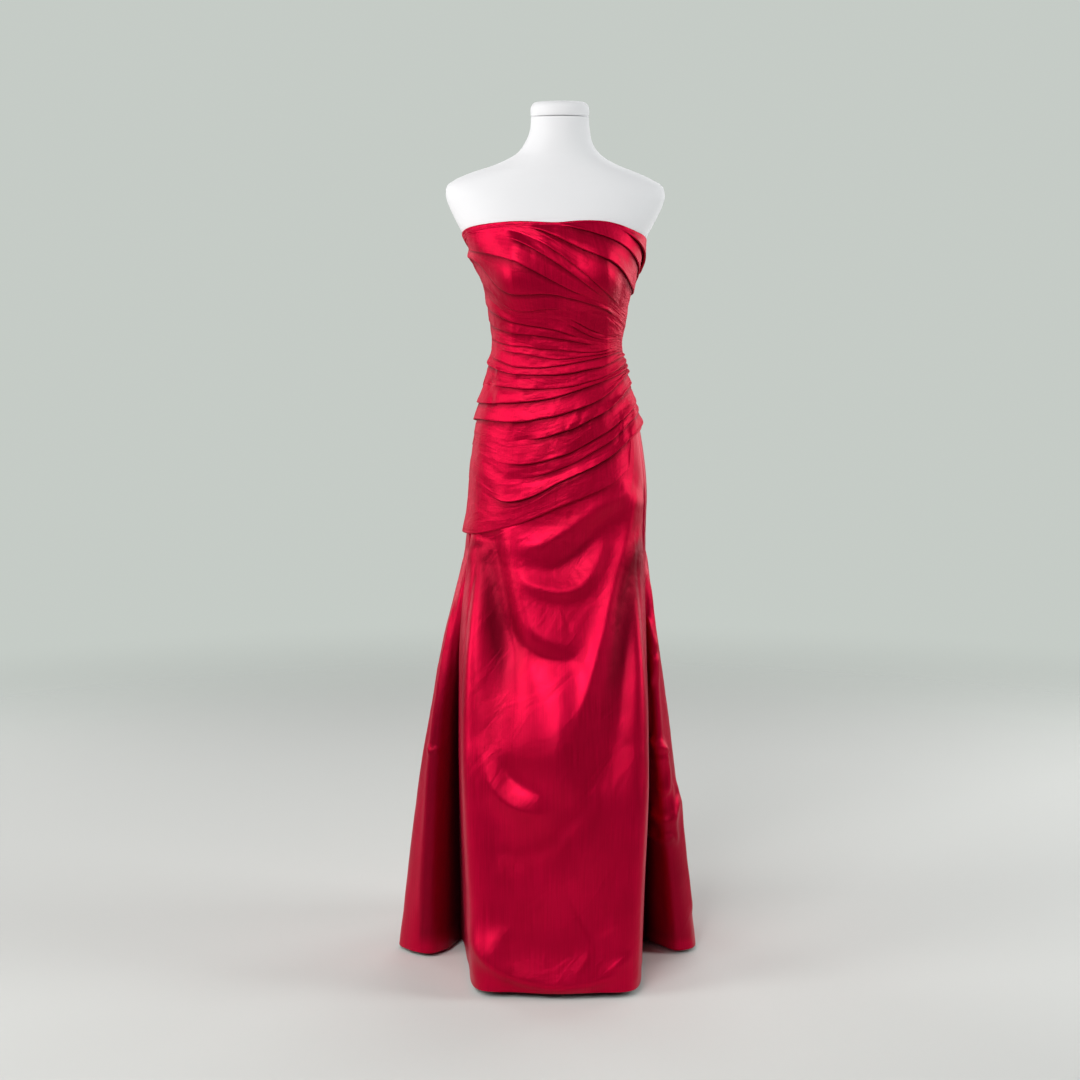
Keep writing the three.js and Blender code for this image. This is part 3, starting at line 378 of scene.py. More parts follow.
# Bodice front: one piece of satin, laid in pleats from side seam to side seam over a boned
# foundation whose two princess seams show as soft upright ridges. Each row is a fold's line at
# seven angles round the body, and the cloth above it stands out by its depth between two angles.
WALL = 1.8
EASE = 1.5
LAP = 28
LAP_AIR = 1
SIDE_SEAM = 95
HIP_HEIGHT = 762
STATIONS = [-95, -71, -44, 0, 44, 71, 95]
pleats = [
    {"name": "neckline", "at": [1272, 1293, 1302, 1301, 1303, 1283, 1264],
     "depth": 0, "from": -95, "to": 95},
    {"name": "armhole fold", "at": [1276, 1292, 1300, 1299, 1300, 1262, 1216],
     "depth": 14, "from": 52, "to": 110, "open": 4},
    {"name": "bust fold 1", "at": [1274, 1290, 1298, 1297, 1275, 1236, 1198],
     "depth": 6, "from": 0, "to": 110},
    {"name": "bust fold 2", "at": [1271, 1287, 1296, 1277, 1231, 1196, 1178],
     "depth": 7, "from": -30, "to": 110},
    {"name": "bust fold 3", "at": [1268, 1285, 1290, 1252, 1182, 1157, 1142],
     "depth": 6, "from": -20, "to": 60},
    {"name": "bust fold 4", "at": [1264, 1281, 1277, 1233, 1174, 1148, 1132],
     "depth": 6, "from": -44, "to": 40},
    {"name": "bust fold 5", "at": [1259, 1256, 1243, 1200, 1167, 1140, 1123],
     "depth": 5, "from": -85, "to": 28},
    {"name": "under-bust 1", "at": [1253, 1238, 1194, 1182, 1161, 1131, 1115],
     "depth": 8, "from": -110, "to": 62},
    {"name": "under-bust 2", "at": [1246, 1205, 1161, 1158, 1146, 1121, 1108],
     "depth": 6, "from": -110, "to": 5},
    {"name": "fan pleat 1", "at": [1220, 1190, 1155, 1149, 1119, 1111, 1103],
     "depth": 4, "from": 8, "to": 55},
    {"name": "fan pleat 2", "at": [1195, 1174, 1148, 1139, 1108, 1105, 1099],
     "depth": 4, "from": 8, "to": 55},
    {"name": "midriff 1", "at": [1172, 1153, 1136, 1121, 1102, 1100, 1095],
     "depth": 5, "from": -110, "to": 28},
    {"name": "midriff 2", "at": [1140, 1125, 1116, 1108, 1096, 1096, 1091],
     "depth": 4, "from": -110, "to": 45},
    {"name": "waist fold 1", "at": [1110, 1101, 1093, 1088, 1084, 1091, 1087],
     "depth": 4, "from": -85, "to": 65},
    {"name": "waist fold 2", "at": [1095, 1088, 1081, 1072, 1078, 1086, 1083],
     "depth": 4, "from": -65, "to": 65},
    {"name": "waist fold 3", "at": [1079, 1071, 1057, 1060, 1072, 1081, 1079],
     "depth": 5, "from": -80, "to": 85},
    {"name": "waist fold 4", "at": [1062, 1053, 1045, 1046, 1056, 1070, 1074],
     "depth": 7, "from": -110, "to": 110},
    {"name": "hip fold 1", "at": [1030, 1025, 1021, 1023, 1036, 1055, 1066],
     "depth": 5, "from": -70, "to": 110},
    {"name": "hip fold 2", "at": [990, 993, 996, 1008, 1030, 1046, 1057],
     "depth": 8, "from": -110, "to": 110},
    {"name": "hip fold 3", "at": [960, 966, 964, 977, 1003, 1036, 1046],
     "depth": 8, "from": -110, "to": 110},
    {"name": "hip fold 4", "at": [944, 941, 932, 946, 978, 1014, 1028],
     "depth": 8, "from": -30, "to": 110},
    {"name": "hip fold 5", "at": [925, 914, 893, 906, 945, 980, 1000],
     "depth": 8, "from": -50, "to": 110},
    {"name": "hip fold 6", "at": [900, 885, 868, 885, 927, 966, 984],
     "depth": 5, "from": -30, "to": 110},
    {"name": "hip fold 7", "at": [862, 848, 829, 862, 903, 944, 961],
     "depth": 9, "from": -60, "to": 110},
    {"name": "lower edge", "at": [767, 770, 785, 821, 857, 899, 912],
     "depth": 6, "from": -110, "to": 64},
]
LEAST_GAP = 2.2
FADE = 14
EDGE_STEP = {"first": 60, "second": 66, "rise": 40}
FOLD_SCALE = 0.46  # the cloth's own relief beside the solid's
SIDE_GAIN = 0.35  # how much deeper a fold is where it enters a side seam
OVERHANG = 2.5  # how far a fold's lip hangs over the cloth below it
fold_face = [0.0, 0.1, 0.36, 0.66, 0.9]  # rows down a fold's flat face, as shares of it
fold_lip = [(2.4, 1.0), (1.1, 1.05), (0.3, 0.85), (0.0, 0.4)]  # above its edge, and share of its depth
princess_seams = [
    {"x": -72, "rise": 6.5, "wide": 62},
    {"x": 80, "rise": 6.5, "wide": 58},
]
PRINCESS = {"from": (1000, 1080), "to": (1250, 1290), "sides": 90, "sharp": 1.5}
# Small creases across and between the pleats, in half degrees round the body and millimetres up.
bodice_creases = [
    {"crease": "pinch at the armhole", "through": [(-194, 1262), (-172, 1265), (-150, 1274)],
     "rise": -4, "left": 6, "right": 6, "fade_in": 0.02},
    {"crease": "bump under the pinch", "through": [(-194, 1246), (-176, 1247), (-158, 1240)],
     "rise": 4, "left": 7, "right": 6, "fade_in": 0.02},
    {"crease": "cup dent", "through": [(-96, 1290), (-74, 1272), (-60, 1258)],
     "rise": 2, "left": 9, "right": 6},
    {"crease": "waist 1", "through": [(-134, 1050), (-108, 1041), (-78, 1043)],
     "rise": 2.2, "left": 5, "right": 8},
    {"crease": "waist 2", "through": [(-126, 1012), (-98, 1004), (-64, 1011)],
     "rise": 2.2, "left": 6, "right": 9},
    {"crease": "waist 3", "through": [(-148, 1034), (-134, 1010), (-126, 988)],
     "rise": -2, "left": 8, "right": 6},
    {"crease": "waist 4", "through": [(-88, 1030), (-66, 1021), (-40, 1027)],
     "rise": 1.8, "left": 5, "right": 7},
    {"crease": "hip 1", "through": [(18, 950), (34, 966), (48, 973)],
     "rise": 1.6, "left": 4, "right": 5},
    {"crease": "hip 2", "through": [(44, 957), (62, 975), (80, 986)],
     "rise": 2.0, "left": 4, "right": 5},
    {"crease": "hip 3", "through": [(60, 955), (80, 975), (98, 989)],
     "rise": 1.7, "left": 4, "right": 4},
    {"crease": "hip 4", "through": [(82, 965), (98, 984), (114, 997)],
     "rise": 2.1, "left": 5, "right": 4},
    {"crease": "hip 5", "through": [(102, 980), (118, 998), (134, 1008)],
     "rise": 1.8, "left": 4, "right": 5},
    {"crease": "hip 6", "through": [(34, 977), (50, 990), (66, 997)],
     "rise": 1.5, "left": 4, "right": 4},
    {"crease": "hip 7", "through": [(118, 1006), (134, 1024), (148, 1036)],
     "rise": 1.8, "left": 5, "right": 4},
    {"crease": "hip 8", "through": [(128, 940), (142, 962), (156, 990)],
     "rise": 1.8, "left": 5, "right": 6},
    {"crease": "hip 9", "through": [(96, 925), (108, 944), (124, 958)],
     "rise": 1.4, "left": 5, "right": 5},
]
BACK_EDGE = 838
FLICK = 2
SIDE_FLICK = 6
FLICK_HEIGHT = 34
FLICK_WIDE = 26
CUP = {"air": 0.8, "from": (1150, 1200), "to": (1262, 1290), "sides": (75, 92)}
SEAM_ANGLE = 0.07
SEAM_SUNK = 1.1
SEAM_WIDE = 1.2
FRONT_COLUMNS = 200
LIP_SHARE = 0.4  # most of a fold's height that its lip may take
LAP_LEAST = 4
LAP_FADE = (2, 26)
LOOK_ROUND = 5


def within(at, rising, falling):
    """1 between two ranges: smooth from 0 over the first, and back to 0 over the second."""
    return step(at, *rising) * (1 - step(at, *falling))


def ripple(u, v, seed):
    """Soft noise in a plane: seeded random values from -1 to 1 on a square lattice, one for each
    unit, blended smoothly between its points. The lattice repeats after its size."""
    size = 64
    table = np.random.default_rng(seed).uniform(-1, 1, (size, size))
    i, j = np.floor(u).astype(int), np.floor(v).astype(int)
    a, b = step(u - i, 0, 1), step(v - j, 0, 1)
    i, j, next_i, next_j = i % size, j % size, (i + 1) % size, (j + 1) % size
    near = table[i, j] * (1 - a) + table[next_i, j] * a
    far = table[i, next_j] * (1 - a) + table[next_i, next_j] * a
    return near * (1 - b) + far * b


def waver(angles, way, row, seed=0):
    """One line of soft noise along the angles, a different one for each row, as the way says."""
    return way["high"] * ripple(angles / way["wide"], 0 * angles + way["apart"] * row, way["seed"] + seed)


def pleat_heights(angle):
    """Heights of all the fold lines at an array of angles: each through its stations, and kept a
    little apart where they run together."""
    heights = []
    for pleat in pleats:
        z = curve(STATIONS, pleat["at"], angle)
        if pleat["name"] == "lower edge":
            z = z + EDGE_STEP["rise"] * step(angle, EDGE_STEP["first"], EDGE_STEP["second"])
        if heights:
            z = np.minimum(z, heights[-1] - LEAST_GAP)
        heights.append(z)
    return np.array(heights)


def fold_rows(upper, lower, tuck):
    """Rows down one fold between two lines: heights outside and inside, and shares of its depth. A
    flat face comes from under the fold above, then turns in tightly at its own lip."""
    gap = upper - lower
    lip = np.minimum(fold_lip[0][0], LIP_SHARE * gap)
    rows = []
    for share in fold_face:
        z = upper - share * (gap - lip)
        rows.append((z + tuck * (share == 0), z, share))
    for above, proud in fold_lip:
        z = lower + lip * above / fold_lip[0][0]
        rows.append((z, z, proud))
    return rows


def lower_edge(any_angle):
    """Height of the bodice's lower edge: the front's table, then a smooth way round the back."""
    angle = wrap_angle(np.asarray(any_angle, float))
    on_front = pleat_heights(np.clip(angle, -SIDE_SEAM, SIDE_SEAM))[-1]
    round_back = step(np.abs(angle), SIDE_SEAM, 180)
    return on_front + (BACK_EDGE - on_front) * round_back


def skirt_top(angle):
    """Where the skirt ends, under the bodice's edge."""
    return np.maximum(lower_edge(angle) + LAP, HIP_HEIGHT + LAP_LEAST)


def bodice_out(angle, z):
    """How far the bodice's inside stands off the body: its ease, more over the bust and over the
    skirt's top, and most at the lower edge, which flicks away from the skirt."""
    top = np.maximum.reduce([skirt_top(angle + away) for away in (-LOOK_ROUND, 0, LOOK_ROUND)])
    cup = CUP["air"] * within(z, CUP["from"], CUP["to"]) * (1 - step(np.abs(angle), *CUP["sides"]))
    edge = lower_edge(angle)
    flick = FLICK + SIDE_FLICK * bell(angle + SIDE_SEAM, FLICK_WIDE)
    flick = flick * (1 - step(z, edge, edge + FLICK_HEIGHT))
    return EASE + cup + flick + (WALL + LAP_AIR) * (1 - step(z, top + LAP_FADE[0], top + LAP_FADE[1]))


def princess(angle, z):
    """The ridges over the princess seams: each falls away on both sides of a sharp crest."""
    x = body_surface(angle, z)[..., 0]
    rise = sum(
        seam["rise"] * np.maximum(1 - np.abs(x - seam["x"]) / seam["wide"], 0) ** PRINCESS["sharp"]
        for seam in princess_seams
    )
    return rise * within(z, PRINCESS["from"], PRINCESS["to"]) * (np.abs(angle) < PRINCESS["sides"])


RUNS = 8  # straight runs of a crease between two of its points


def line_relief(a, b, creases, height="rise"):
    """Relief from the listed creases on a flat map of the cloth: each is a smooth line through its
    points, whose crest falls away with its own width on the left and on the right of its run, and
    fades at both ends. A negative rise is a trough. Another column may stand for the height."""
    total = np.zeros_like(a)
    for crease in creases:
        if height not in crease:
            continue
        nodes = np.array(crease["through"], float)
        knots = np.arange(len(nodes))
        fine = np.linspace(0, len(nodes) - 1, RUNS * (len(nodes) - 1) + 1)
        path = np.stack([curve(knots, nodes[:, 0], fine), curve(knots, nodes[:, 1], fine)], -1)
        wide = max(crease["left"], crease["right"])
        low, high = path.min(0) - 3 * wide, path.max(0) + 3 * wide
        near = (a > low[0]) & (a < high[0]) & (b > low[1]) & (b < high[1])
        if not near.any():
            continue
        here = np.stack([a[near], b[near]], -1)
        nearest = np.full(len(here), np.inf)
        side, along = np.zeros(len(here)), np.zeros(len(here))
        for k in range(len(path) - 1):
            run = path[k + 1] - path[k]
            away = here - path[k]
            t = np.clip(away @ run / (run @ run), 0, 1)
            distance = np.linalg.norm(away - t[:, None] * run, axis=-1)
            closer = distance < nearest
            nearest = np.where(closer, distance, nearest)
            side = np.where(closer, run[0] * away[:, 1] - run[1] * away[:, 0], side)
            along = np.where(closer, (k + t) / (len(path) - 1), along)
        width = np.where(side > 0, crease["left"], crease["right"])
        fade_in, fade_out = crease.get("fade_in", 0.15), crease.get("fade_out", 0.2)
        ends = within(along, (-0.02, fade_in), (1 - fade_out, 1.02))
        power = crease.get("sharp", 2.0)
        total[near] += crease[height] * ends * np.exp(-((nearest / width) ** power))
    return total


def arc_lengths(points, axis):
    """Lengths along a grid from its first line of points, the mean of all lines, in metres."""
    steps = np.linalg.norm(np.diff(points, axis=axis), axis=-1).mean(1 - axis)
    return np.concatenate([[0], np.cumsum(steps)]) * MM


RIM_TURNS = np.radians([45, 90, 135])
RIM = len(RIM_TURNS)
SHARP_EDGE = 70  # degrees past which an edge of the cloth isn't shaded smooth


def rim(outer, inner, before):
    """Rows that round the edge from outer to inner: a half circle about the middle of the wall,
    pushed on in the direction in which the cloth was going."""
    middle, half = (outer + inner) / 2, (outer - inner) / 2
    on = outer - before
    on = on / np.linalg.norm(on, axis=-1, keepdims=True) * np.linalg.norm(half, axis=-1, keepdims=True)
    return [middle + half * np.cos(turn) + on * np.sin(turn) for turn in RIM_TURNS]


def cloth(name, outer, inner, crush, deep, drawn, material):
    """A closed thin shell of cloth from grids of outer and inner points in millimetres, rows from
    the top down. It has rounded upper and lower edges, a map in metres along its threads, and three
    attributes from 0 to 1: crush, where the cloth is finely crumpled, deep, painted shade that darkens
    the dye inside a fold or hollow, and drawn, where it is drawn up into fine gathers across the piece."""
    outer, inner, crush, deep = (np.asarray(rows) for rows in (outer, inner, crush, deep))
    rows, columns = outer.shape[:2]
    below, above = rim(outer[-1], inner[-1], outer[-2]), rim(inner[0], outer[0], inner[1])
    ring = np.array([*outer, *below, *inner[::-1], *above])
    i = np.arange(rows - 1)
    back = 2 * rows + RIM - 1 - i
    left = np.stack([i, back, back - 1, i + 1], -1) * columns
    right = np.stack([i, i + 1, back - 1, back], -1) * columns + columns - 1
    low = np.arange(rows - 1, rows + RIM + 1)
    high = np.arange(2 * rows + RIM - 1, 2 * rows + 2 * RIM + 1) % len(ring)
    bottoms = np.array([low[::-1] * columns, low * columns + columns - 1])
    tops = np.array([high[::-1] * columns, high * columns + columns - 1])
    faces = [grid_faces(len(ring), columns, close_rows=True), left, right, bottoms, tops]
    made = put_mesh(name, ring.reshape(-1, 3) * MM, faces, material)

    def all_round(level):
        """Rows of values down the outside, repeated round both edges and up the inside."""
        ends = np.repeat(level[-1:], RIM, 0), np.repeat(level[:1], RIM, 0)
        return np.concatenate([level, ends[0], level[::-1], ends[1]])

    down, across = all_round(arc_lengths(outer, 0)), arc_lengths(outer, 1)
    weave = np.stack(np.meshgrid(across, -down), -1).reshape(-1, 2).astype(np.float32)
    corners = np.empty(len(made.data.loops), np.int32)
    made.data.loops.foreach_get("vertex_index", corners)
    made.data.uv_layers.new(name="weave").data.foreach_set("uv", weave[corners].ravel())
    # The deep attribute is painted shade: it darkens the dye in folds and hollows.
    for word, level in (("crush", crush), ("deep", deep), ("drawn", drawn * crush)):
        attribute = made.data.attributes.new(word, "FLOAT", "POINT")
        attribute.data.foreach_set("value", all_round(level).ravel().astype(np.float32))
    made.data.set_sharp_from_angle(angle=np.radians(SHARP_EDGE))
    return made


# Satin: crimson, with long floats that mirror light softly along the threads, so that a face
# turned to a lamp glows pink and one turned away sinks to wine.
DRAG_TURN = 50  # degrees between the drag lines and the threads that run across


def add_math(tree, kind, *values):
    """One step of arithmetic on two or three values: its socket."""
    return add_node(tree, "ShaderNodeMath", dict(enumerate(values)), operation=kind).outputs["Value"]


satin, tree, shader = new_material("crimson_satin", {
    "Metallic": 0.65, "Anisotropic": 0.45, "Specular IOR Level": 0.1,
    "Coat Weight": 0.015, "Coat Roughness": 0.3,
    "Sheen Weight": 0.03, "Sheen Roughness": 0.35, "Sheen Tint": (1.0, 0.25, 0.35, 1),
})
place = add_node(tree, "ShaderNodeTexCoord").outputs["Object"]
threads_map = add_node(tree, "ShaderNodeUVMap", uv_map="weave").outputs["UV"]
deep, crushed, drawn = (
    add_node(tree, "ShaderNodeAttribute", attribute_name=word).outputs["Fac"]
    for word in ("deep", "crush", "drawn")
)
cloud = add_noise(tree, place, scale=9.0, detail=3.0)
streak_way = add_node(tree, "ShaderNodeMapping", {"Vector": threads_map, "Scale": (520.0, 14.0, 1.0)})
streak = add_noise(tree, streak_way.outputs["Vector"])
dyed = add_node(tree, "ShaderNodeMapRange", {
    "Value": add_math(tree, "MULTIPLY", cloud, streak), "From Min": 0.12, "From Max": 0.38,
})
dye = add_mix(tree, dyed.outputs["Result"], (0.46, 0.0, 0.027, 1), (0.57, 0.0, 0.037, 1))
# Painted shade: the deep attribute mixes the dye towards near black in folds, hollows and valleys.
dye_with_painted_shade = add_mix(tree, deep, dye, (0.045, 0.0, 0.003, 1))
tree.links.new(dye_with_painted_shade, shader.inputs["Base Color"])
gloss = add_range(tree, streak, 0.28, 0.46)
rough = add_math(tree, "MULTIPLY_ADD", crushed, 0.25, gloss)
tree.links.new(rough, shader.inputs["Roughness"])
crumple = add_noise(tree, place, scale=95.0, detail=3.0, distortion=0.6)
puckers = add_math(tree, "MULTIPLY", crumple, crushed)
wrinkles = add_bump(tree, puckers, strength=0.8, distance=0.0016)
gather_way = add_node(tree, "ShaderNodeMapping", {"Vector": threads_map, "Scale": (17.0, 95.0, 1.0)})
gather = add_noise(tree, gather_way.outputs["Vector"], detail=3.0, distortion=0.4)
gathered = add_math(tree, "MULTIPLY", gather, drawn)
gathers = add_bump(tree, gathered, strength=0.7, distance=0.0045, under=wrinkles)
drag_way = add_node(tree, "ShaderNodeMapping", {
    "Vector": threads_map, "Rotation": (0.0, 0.0, np.radians(DRAG_TURN)), "Scale": (0.10, 0.034, 1.0),
}, vector_type="TEXTURE")
drag = add_noise(tree, drag_way.outputs["Vector"], distortion=0.8)
dragged = add_math(tree, "MULTIPLY", drag, add_math(tree, "SUBTRACT", 1.0, drawn))
drags = add_bump(tree, dragged, strength=0.5, distance=0.0028, under=gathers)
threads = add_bump(tree, streak, strength=0.2, distance=0.0005, under=drags)
tree.links.new(threads, shader.inputs["Normal"])
thread_line = add_node(tree, "ShaderNodeTangent", direction_type="UV_MAP", uv_map="weave")
tree.links.new(thread_line.outputs["Tangent"], shader.inputs["Tangent"])

# The folds' lines wander a little, and their depths come and go along the way. At the side seams
# the hip's folds are drawn in, so they stand deeper there.
LINE_WAVER = {"high": 1.1, "wide": 17, "apart": 3.3, "seed": 11}
WAVER_GAP = 20
NECKLINE_WAVER = 0.4
EDGE_WAVER = 0.7
DEPTH_WAVER = {"high": 0.28, "wide": 23, "apart": 5.7, "seed": 12}
MOST_DEPTH = 0.4  # of the way between two lines
DRAWN_IN = {"wide": 14, "from": (1050, 1090)}
OPEN_FROM = (66, 84)
front_ripples = [
    {"high": 0.8, "wide": 21, "shift": 9, "in_fold": 1.9, "gap": 18, "seed": 13},
    {"high": 0.45, "wide": 9, "shift": 5, "in_fold": 3.3, "gap": 14, "seed": 14},
    {"high": 0.25, "wide": 4.5, "shift": 2, "in_fold": 4.7, "gap": 14, "seed": 15},
]
CREASE_GAP = 14
CRUSH = 0.35
WAIST_CRUSH = {"rise": 0.3, "height": 1060, "tall": 60}
SIDE_CRUSH = {"rise": 0.35, "wide": 25}
FOLD_SHADE = [0.95, 0.5, 0, 0, 0, 0, 0, 0, 0]  # painted shade in the dye, row by row down a fold: darkest just under the fold above
# Painted shade in the dye on the last row of a fold's lip, where it turns under.
LIP_SHADE = 0.4

front_angles = np.linspace(-SIDE_SEAM + SEAM_ANGLE, SIDE_SEAM - SEAM_ANGLE, FRONT_COLUMNS)
lines = pleat_heights(front_angles)
wavy = np.array([waver(front_angles, LINE_WAVER, k) for k in range(len(pleats))])
wavy[0] *= NECKLINE_WAVER
wavy[-1] *= EDGE_WAVER
room = np.maximum(-np.diff(lines, axis=0, prepend=lines[:1] + WAVER_GAP), LEAST_GAP)
lines = lines + wavy * np.clip(room / WAVER_GAP, 0, 1)
shown = np.array([
    within(front_angles, (pleat["from"], pleat["from"] + FADE), (pleat["to"] - FADE, pleat["to"]))
    for pleat in pleats
])
uneven = 1 + np.array([waver(front_angles, DEPTH_WAVER, k) for k in range(len(pleats))])
past_seam = np.abs(front_angles) - SIDE_SEAM
opened = step(front_angles, *OPEN_FROM)
outer_rows, inner_rows, crush_rows, painted_shade_rows = [], [], [], []
for k in range(len(pleats) - 1):
    fold, next_fold = pleats[k], pleats[k + 1]
    upper, lower = lines[k], lines[k + 1]
    gap = upper - lower
    depth = np.minimum(FOLD_SCALE * next_fold["depth"] * uneven[k + 1], MOST_DEPTH * gap) * shown[k + 1]
    drawn_in = bell(past_seam, DRAWN_IN["wide"]) * (1 - step(lower, *DRAWN_IN["from"]))
    depth = depth * (1 + SIDE_GAIN * drawn_in)
    tuck = (OVERHANG + fold.get("open", 0) * opened) * shown[k] * (fold["depth"] > 0)
    for (z, z_inside, proud), shade in zip(fold_rows(upper, lower, tuck), FOLD_SHADE):
        flow = k + (upper - z_inside) / gap
        relief = depth * proud
        for wave in front_ripples:
            soft = ripple(front_angles / wave["wide"] + wave["shift"], flow * wave["in_fold"], wave["seed"])
            relief = relief + wave["high"] * np.clip(gap / wave["gap"], 0, 1) * soft
        creased = line_relief(2 * front_angles, z_inside, bodice_creases)
        relief = relief + creased * np.clip(gap / CREASE_GAP, 0, 1)
        inner_rows.append(body_point(front_angles, z_inside, bodice_out(front_angles, z_inside)))
        out = bodice_out(front_angles, z) + WALL + relief + princess(front_angles, z)
        outer_rows.append(body_point(front_angles, z, out - SEAM_SUNK * bell(past_seam, SEAM_WIDE)))
        waist = WAIST_CRUSH["rise"] * bell(z - WAIST_CRUSH["height"], WAIST_CRUSH["tall"])
        crush_rows.append(CRUSH + waist + SIDE_CRUSH["rise"] * bell(past_seam, SIDE_CRUSH["wide"]))
        # Painted shade: these values darken the dye under each fold and on its lip.
        on_lip = proud == fold_lip[-1][1]
        painted_shade_rows.append(shown[k] * shade * (k > 0) + LIP_SHADE * shown[k + 1] * on_lip)
bodice_front = cloth("gown_bodice_front", outer_rows, inner_rows, crush_rows, painted_shade_rows, 1, satin)
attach(bodice_front, "gown_on_form")
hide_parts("bodice_front")

# Bodice backs: two pieces of the same satin that meet at the zip, pleated from the side seams
# down towards it and sewn flat for a finger's width beside it. The pleats are evenly spaced, but
# their lines wander as the front's do.
BACK_FOLDS = 10
BACK_NECKLINE = 1252
BACK_DEPTH = 5
BACK_SAG = 10
ZIP_PLAIN = 12
ZIP_FLAT = (1, 8)
ZIP_SUNK = 0.9
ZIP_WIDE = 1.6
BACK_COLUMNS = 100
BACK_DRAWN = 0.7
BACK_LINE_WAVER = {"high": 0.12, "wide": 15, "apart": 2.3, "seed": 21}
BACK_DEPTH_WAVER = {"high": 0.4, "wide": 19, "apart": 4.1, "seed": 23}
back_ripples = [
    {"high": 0.9, "wide": 16, "in_fold": 1.9, "seed": 25},
    {"high": 0.45, "wide": 7, "in_fold": 3.3, "seed": 27},
]


def back_height(side, share, line):
    """Height of a line on the back, from the side seam to the zip: its height at each end,
    blended smoothly, less a sag that is deepest between them."""
    ends = pleat_heights(np.array([side * float(SIDE_SEAM)]))
    at_side = ends[0] + (ends[-1] - ends[0]) * line
    at_zip = BACK_NECKLINE + (BACK_EDGE - BACK_NECKLINE) * line
    sag = BACK_SAG * np.sin(np.pi * share) * np.sin(np.pi * line)
    return at_side + (at_zip - at_side) * step(share, 0, 1) - sag


for side, word in ((1, "left"), (-1, "right")):
    across = np.linspace(0, 1, BACK_COLUMNS)[::side]
    turned = SIDE_SEAM + SEAM_ANGLE + (180 - SIDE_SEAM - 2 * SEAM_ANGLE) * across
    to_zip = 180 - turned
    plain = 1 - step(turned, 180 - 2 * ZIP_PLAIN, 180 - ZIP_PLAIN)
    seams = SEAM_SUNK * bell(turned - SIDE_SEAM, SEAM_WIDE) + ZIP_SUNK * bell(to_zip, ZIP_WIDE)
    heights = []
    for k in range(BACK_FOLDS + 1):
        stray = waver(turned, BACK_LINE_WAVER, k, side) * (0 < k < BACK_FOLDS)
        heights.append(back_height(side, across, (k + stray) / BACK_FOLDS))
    outer_rows, inner_rows, crush_rows, painted_shade_rows = [], [], [], []
    for k in range(BACK_FOLDS):
        upper, lower = heights[k], heights[k + 1]
        depth = FOLD_SCALE * BACK_DEPTH * (1 + waver(turned, BACK_DEPTH_WAVER, k, side)) * plain
        rows = fold_rows(upper, lower, OVERHANG * (k > 0) * plain)
        for row, (z, z_inside, proud) in enumerate(rows):
            flow = k + (upper - z_inside) / (upper - lower)
            relief = depth * proud
            for wave in back_ripples:
                soft = ripple(turned / wave["wide"], flow * wave["in_fold"], wave["seed"] + side)
                relief = relief + wave["high"] * soft
            inner_rows.append(body_point(side * turned, z_inside, bodice_out(side * turned, z_inside)))
            out = bodice_out(side * turned, z) + WALL + relief * step(to_zip, *ZIP_FLAT) - seams
            outer_rows.append(body_point(side * turned, z, out))
            crush_rows.append(CRUSH + SIDE_CRUSH["rise"] * bell(turned - SIDE_SEAM, SIDE_CRUSH["wide"]))
            # Painted shade under each fold and on its lip, as on the front.
            painted_shade_under_fold = FOLD_SHADE[0] * (row == 0) * (k > 0)
            painted_shade_rows.append(plain * (painted_shade_under_fold + LIP_SHADE * (proud == fold_lip[-1][1])))
    piece = cloth(
        "gown_bodice_back_" + word, outer_rows, inner_rows, crush_rows, painted_shade_rows, BACK_DRAWN, satin,
    )
    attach(piece, "gown_on_form")
    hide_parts("bodice_back_" + word)

# Zip: a concealed one down the back seam. Only the slider's bridge and the drop-shaped pull
# show; both are the CAD solids in enamelled metal.
enamel, tree, shader = new_material("crimson_enamel", {
    "Metallic": 0.3, "Roughness": 0.32, "Coat Weight": 0.5,
})
place = add_node(tree, "ShaderNodeTexCoord").outputs["Object"]
orange_peel = add_noise(tree, place, scale=700.0)
dip = add_bump(tree, orange_peel, strength=0.2, distance=0.00008)
tree.links.new(dip, shader.inputs["Normal"])
paint = add_mix(tree, orange_peel, (0.34, 0.012, 0.045, 1), (0.42, 0.020, 0.060, 1))
tree.links.new(paint, shader.inputs["Base Color"])
for name in ("zip_slider", "zip_pull"):
    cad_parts[name].data.materials.clear()
    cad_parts[name].data.materials.append(enamel)

